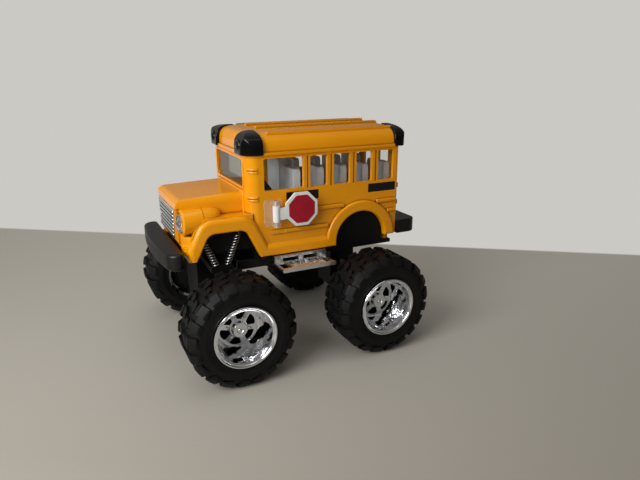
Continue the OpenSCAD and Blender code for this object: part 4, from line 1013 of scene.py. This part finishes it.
# %% [markdown]
# ## Roof
# The roof's front is a full curve in both directions. A lofted surface could give that, but it is simpler to
# extrude the side view and keep only what lies within the end view too. Both are quarters of a squared-off
# ellipse.

# %% Roof
gutter_z, roof_rise, roof_power, curve_steps = 89.5, 9.3, 4, 16
below_roof, above_roof = 80, 110


def quarter_curve(centre, reach, rise):
    turns = [math.pi / 2 * i / curve_steps for i in range(curve_steps + 1)]
    power = 2 / roof_power
    return [(centre + reach * math.cos(t) ** power, gutter_z + rise * math.sin(t) ** power) for t in turns]


def roof_block(name, centre, reach, start, half, y_low, y_high, rise):
    side_view = quarter_curve(centre, reach, rise) + [(start, gutter_z + rise), (start, gutter_z + 0.1)]
    end_view = quarter_curve(0, half, rise)
    end_view += [(-y, z) for y, z in reversed(end_view[:-1])]
    back, front = sorted((start, centre + reach))
    piece = outline(name, side_view, "y", y_low, y_high)
    return combine(piece, outline("section", end_view, "x", back - 1, front + 1), "INTERSECT")


roof = soft_copy("roof", "roof_casting", 0)
combine(roof, roof_block("roof_nose", 13, 11.1, 8, 24.45, -25, 25, roof_rise - 0.05), "UNION")
roof_plan = rounded([(-51.2, -25.6, 1.6), (24.9, -25.5, 6.3), (24.9, 25.5, 6.3), (-51.2, 25.6, 1.6)], 10)
combine(roof, outline("roof_plan", roof_plan, "z", below_roof, above_roof), "INTERSECT")
dress(roll_edges(roof, 0.3, 2, 30), roof_enamel, "bus", "roof")
print("roof faces", len(roof.data.polygons))

# %% [markdown]
# ## Lamp pods
# Each lamp pod is a slice of the same form, a little larger, so it sits on the roof's corner like a cap. A
# bevel can't follow its many short edges, so the pod is remeshed in fine cubes and smoothed, which rounds all
# of it evenly.

# %% Lamp pods
pod_inner, pod_outer = 12.8, 26.0
for end, centre, reach, start, corner in (
        ("front", 13.4, 12.3, 17.0, 6.0), ("rear", -47.8, -4.9, -47.0, 2.4)):
    tip = centre + reach + 0.01
    for side, word in ((1, "left"), (-1, "right")):
        near, far = side * pod_inner, side * (pod_outer + 0.01)
        y_low, y_high = sorted((near, side * (pod_outer + 0.2)))
        pod = roof_block("lamp_cap_" + end + "_" + word, centre, reach, start, pod_outer, y_low, y_high,
                         roof_rise + 0.35)
        plan = rounded([(start, near, 0), (tip, near, 0.6), (tip, far, corner), (start, far, 0)], 8)
        combine(pod, outline("plan", plan, "z", below_roof, above_roof), "INTERSECT")
        modify(pod, "REMESH", mode="VOXEL", voxel_size=0.28 * MM)
        modify(pod, "SMOOTH", factor=0.5, iterations=14)
        dress(pod, gloss_black, "bus", "lamp_pod_" + end + "_" + word)
        print(pod.name, "faces", len(pod.data.polygons))

# %% [markdown]
# ### Pod lenses
# A round lens with a bead round it stands on the front of each front pod. It is turned round Y, and then
# faced forward.

# %% Pod lenses
pod_lens_x, pod_lens_y, pod_lens_z = 25.35, 18.0, 93.2
pod_lens_section = [
    (0, 0.95), (0.9, 0.85), (1.6, 0.5), (1.9, 0.1), (2.1, 0.45), (2.5, 0.5), (2.75, 0.2), (2.8, -0.6),
    (0, -0.6)]


def face_forward(piece, turn, place):
    only(piece)
    piece.rotation_euler.z = math.radians(turn - 90)
    piece.location = Vector(place) * MM
    bpy.ops.object.transform_apply(location=True, rotation=True, scale=True)
    return piece


for side, word in ((1, "left"), (-1, "right")):
    spot = (pod_lens_x, side * pod_lens_y, pod_lens_z)
    lens = face_forward(turned("pod_lens_" + word, pod_lens_section, 40), 0, spot)
    dress(lens, gloss_black, "bus", slot="black_abs")
    print(lens.name, "faces", len(lens.data.polygons))

# %% [markdown]
# ## Bumpers
# The bumpers are bars with rounded ends, seen from above, and a wide roll along their edges. The front one is
# bowed.

# %% Bumpers
bow_x, bow_depth, bow_half = 61.3, 1.5, 22
bow = [(bow_x - bow_depth * (y / bow_half) ** 2, y, 0) for y in range(-bow_half, bow_half + 1, 4)]
right_end, left_end = [(52.6, -28.4, 2.0), (58.9, -28.4, 4.8)], [(58.9, 28.4, 4.8), (52.6, 28.4, 2.0)]
front_plan = rounded(right_end + bow + left_end, 8)
rear_plan = rounded([(-50.1, -25.2, 0.6), (-50.1, 25.2, 0.6), (-61.3, 25.2, 4.2), (-61.3, -25.2, 4.2)], 8)
for end, plan, low, high, roll in (
        ("front", front_plan, 46.1, 53.3, 1.9), ("rear", rear_plan, 47.4, 54.0, 1.5)):
    bumper = roll_edges(outline(end + "_bumper_bar", plan, "z", low, high), roll, 5, 50)
    dress(bumper, satin_black, "bus", end + "_bumper")
    print(bumper.name, "faces", len(bumper.data.polygons))

# %% [markdown]
# ## Grille
# The grille is a row of round bars in a thin surround that widens upwards, all plated. A black plate behind
# the bars stands in for the shade in the gaps: painted shade.

# %% Grille
grille_low, grille_high, grille_half, grille_taper = 56.0, 68.4, 14.9, 1.6
grille_x, grille_front, grille_corner = 51.4, 53.3, 0.8
bar_x, bar_r, first_bar, bar_step, bar_count = 53.1, 0.5, 1.25, 1.66, 7


def grille_face(inset):
    low_half, high_half = grille_half - grille_taper - inset, grille_half - inset
    low, high = grille_low + inset, grille_high - inset
    corners = [(-low_half, low), (low_half, low), (high_half, high), (-high_half, high)]
    return rounded([(y, z, grille_corner) for y, z in corners])


surround = outline("surround", grille_face(0), "x", grille_x, grille_front)
combine(surround, outline("opening", grille_face(0.7), "x", 50, 55), "DIFFERENCE")
bright = [roll_edges(surround, 0.2, 2, 40)]
for k in range(bar_count):
    z = grille_low + first_bar + bar_step * k
    bar_half = grille_half - grille_taper * (grille_high - z) / (grille_high - grille_low) - 0.3
    bar = rod("bar", (bar_x, -bar_half, z), (bar_x, bar_half, z), bar_r, 20)
    bright.append(roll_edges(bar, 0.3, 3, 60))
dress(join("grille_bars", bright), chrome, "bus", "grille")
# Painted shade: a black plate behind the bars darkens the gaps.
dress(outline("grille_shade_plate", grille_face(0.4), "x", grille_x, 52.0), satin_black, "bus", slot="black_abs")
print("grille bars", bar_count)

# %% [markdown]
# ## Headlights
# A headlight is a plated bowl with a beaded ring, and a clear lens over it. Both are turned round the lamp's
# axis, and both lamps face a little outwards, as the corners of the bonnet do.

# %% Headlights
lamp_turn = 12
bowl_section = [
    (0, -0.6), (3.9, -0.6), (4.05, 0.2), (3.95, 0.75), (3.6, 0.95), (3.3, 0.8), (3.15, 0.4), (1.2, -0.2),
    (0.9, 0.3), (0, 0.4)]
lens_section = [
    (0, 1.0), (1.6, 0.9), (2.7, 0.65), (3.2, 0.45), (3.2, 0.6), (2.7, 0.85), (1.6, 1.15), (0, 1.25)]
for side, word in ((1, "left"), (-1, "right")):
    spot = (lamp_x - 0.2, side * (lamp_y + 0.3), lamp_z)
    bowl = face_forward(turned("headlight_bowl_" + word, bowl_section, 48), side * lamp_turn, spot)
    dress(bowl, chrome, "bus", "headlight_" + word)
    lens = face_forward(turned("headlight_lens_" + word, lens_section, 48), side * lamp_turn, spot)
    dress(lens, clear, "bus", slot="clear_styrene")
    print(bowl.name, lens.name)

# %% [markdown]
# ## Gearbox cover
# Under the cab the chassis carries a plain black box that fills the space between the wheels. It is a block
# with a wide roll.

# %% Gearbox cover
cover = roll_edges(block("gearbox_cover", (10.5, -15, 37.4), (27.5, 15, 42.7)), 1.2, 4)
dress(cover, satin_black, "bus", slot="black_abs")
print("cover faces", len(cover.data.polygons))

# %% [markdown]
# ## Stop sign
# The sign is white plastic, with a thin red octagon inside its border. The octagon is a piece of its own,
# because its edge is sharper than a printed pattern would come out.

# %% Stop sign
dress(soft_copy("stop_sign", "stop_sign_board", 0.15), white_abs, "stop_sign", "stop_sign")
sign_low, sign_high = [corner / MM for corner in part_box("stop_sign")]
sign_w = sign_high.z - sign_low.z
sign_x, sign_z = sign_low.x + sign_w / 2, (sign_low.z + sign_high.z) / 2
plate_y = max(v.co.y / MM for v in frame["nodes"]["stop_sign"].data.vertices if v.co.x / MM < sign_x)
field_share, field_depth, field_lift = 0.83, 0.2, 0.12
field_r = sign_w / 2 / math.cos(math.pi / 8) * field_share
field_turns = [math.radians(22.5 + 45 * k) for k in range(8)]
octagon = [(sign_x + field_r * math.cos(t), sign_z + field_r * math.sin(t)) for t in field_turns]
field = outline("stop_sign_field", octagon, "y", plate_y - field_depth, plate_y + field_lift)
dress(roll_edges(field, 0.06, 2, 40), red_print, "stop_sign", slot="red_abs")
print("sign", round(sign_w, 1), "mm across")

# %% [markdown]
# ## Coil springs
# A spring is wire wound into a coil. The wire's round section is swept by a Screw modifier, and its two ends
# are filled. The coil leans from its foot to its head. Shear would do that, but it needs a window, so the
# lean is set on the points.

# %% Springs
wire_r, coil_r, coils, coil_steps, inset_x, travel = 0.23, 1.36, 11, 24, 1.2, 4.5


def coil(name, height):
    bpy.ops.mesh.primitive_circle_add(vertices=10, radius=wire_r * MM, rotation=(math.pi / 2, 0, 0),
                                      location=(coil_r * MM, 0, 0))
    piece = settle(name)
    modify(piece, "SCREW", angle=2 * math.pi * coils, screw_offset=height * MM, steps=coil_steps * coils,
           render_steps=coil_steps * coils, axis="Z", use_merge_vertices=False)
    pick(piece, "EDGE", lambda a, b: False)
    bpy.ops.mesh.select_non_manifold(extend=False, use_wire=False, use_multi_face=False,
                                     use_non_contiguous=False, use_verts=False)
    bpy.ops.mesh.edge_face_add()
    leave_edit()
    return face_outwards(piece)


for node in ("spring_left_fore", "spring_left_aft", "spring_right_fore", "spring_right_aft"):
    low, high = [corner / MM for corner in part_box(node)]
    foot_x, head_x = low.x + inset_x, high.x - inset_x
    if node.endswith("aft"):
        foot_x, head_x = head_x, foot_x
    height = high.z - low.z - 2 * wire_r
    spring = coil(node + "_coil", height)
    for vertex in spring.data.vertices:
        share = min(1, max(0, vertex.co.z / (height * MM)))
        x = foot_x + (head_x - foot_x) * share
        vertex.co += Vector((x, (low.y + high.y) / 2, low.z + wire_r)) * MM
    dress(spring, steel, "bus", node)
    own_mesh(spring)
    print(spring.name, "height", round(high.z - low.z, 1), "mm")
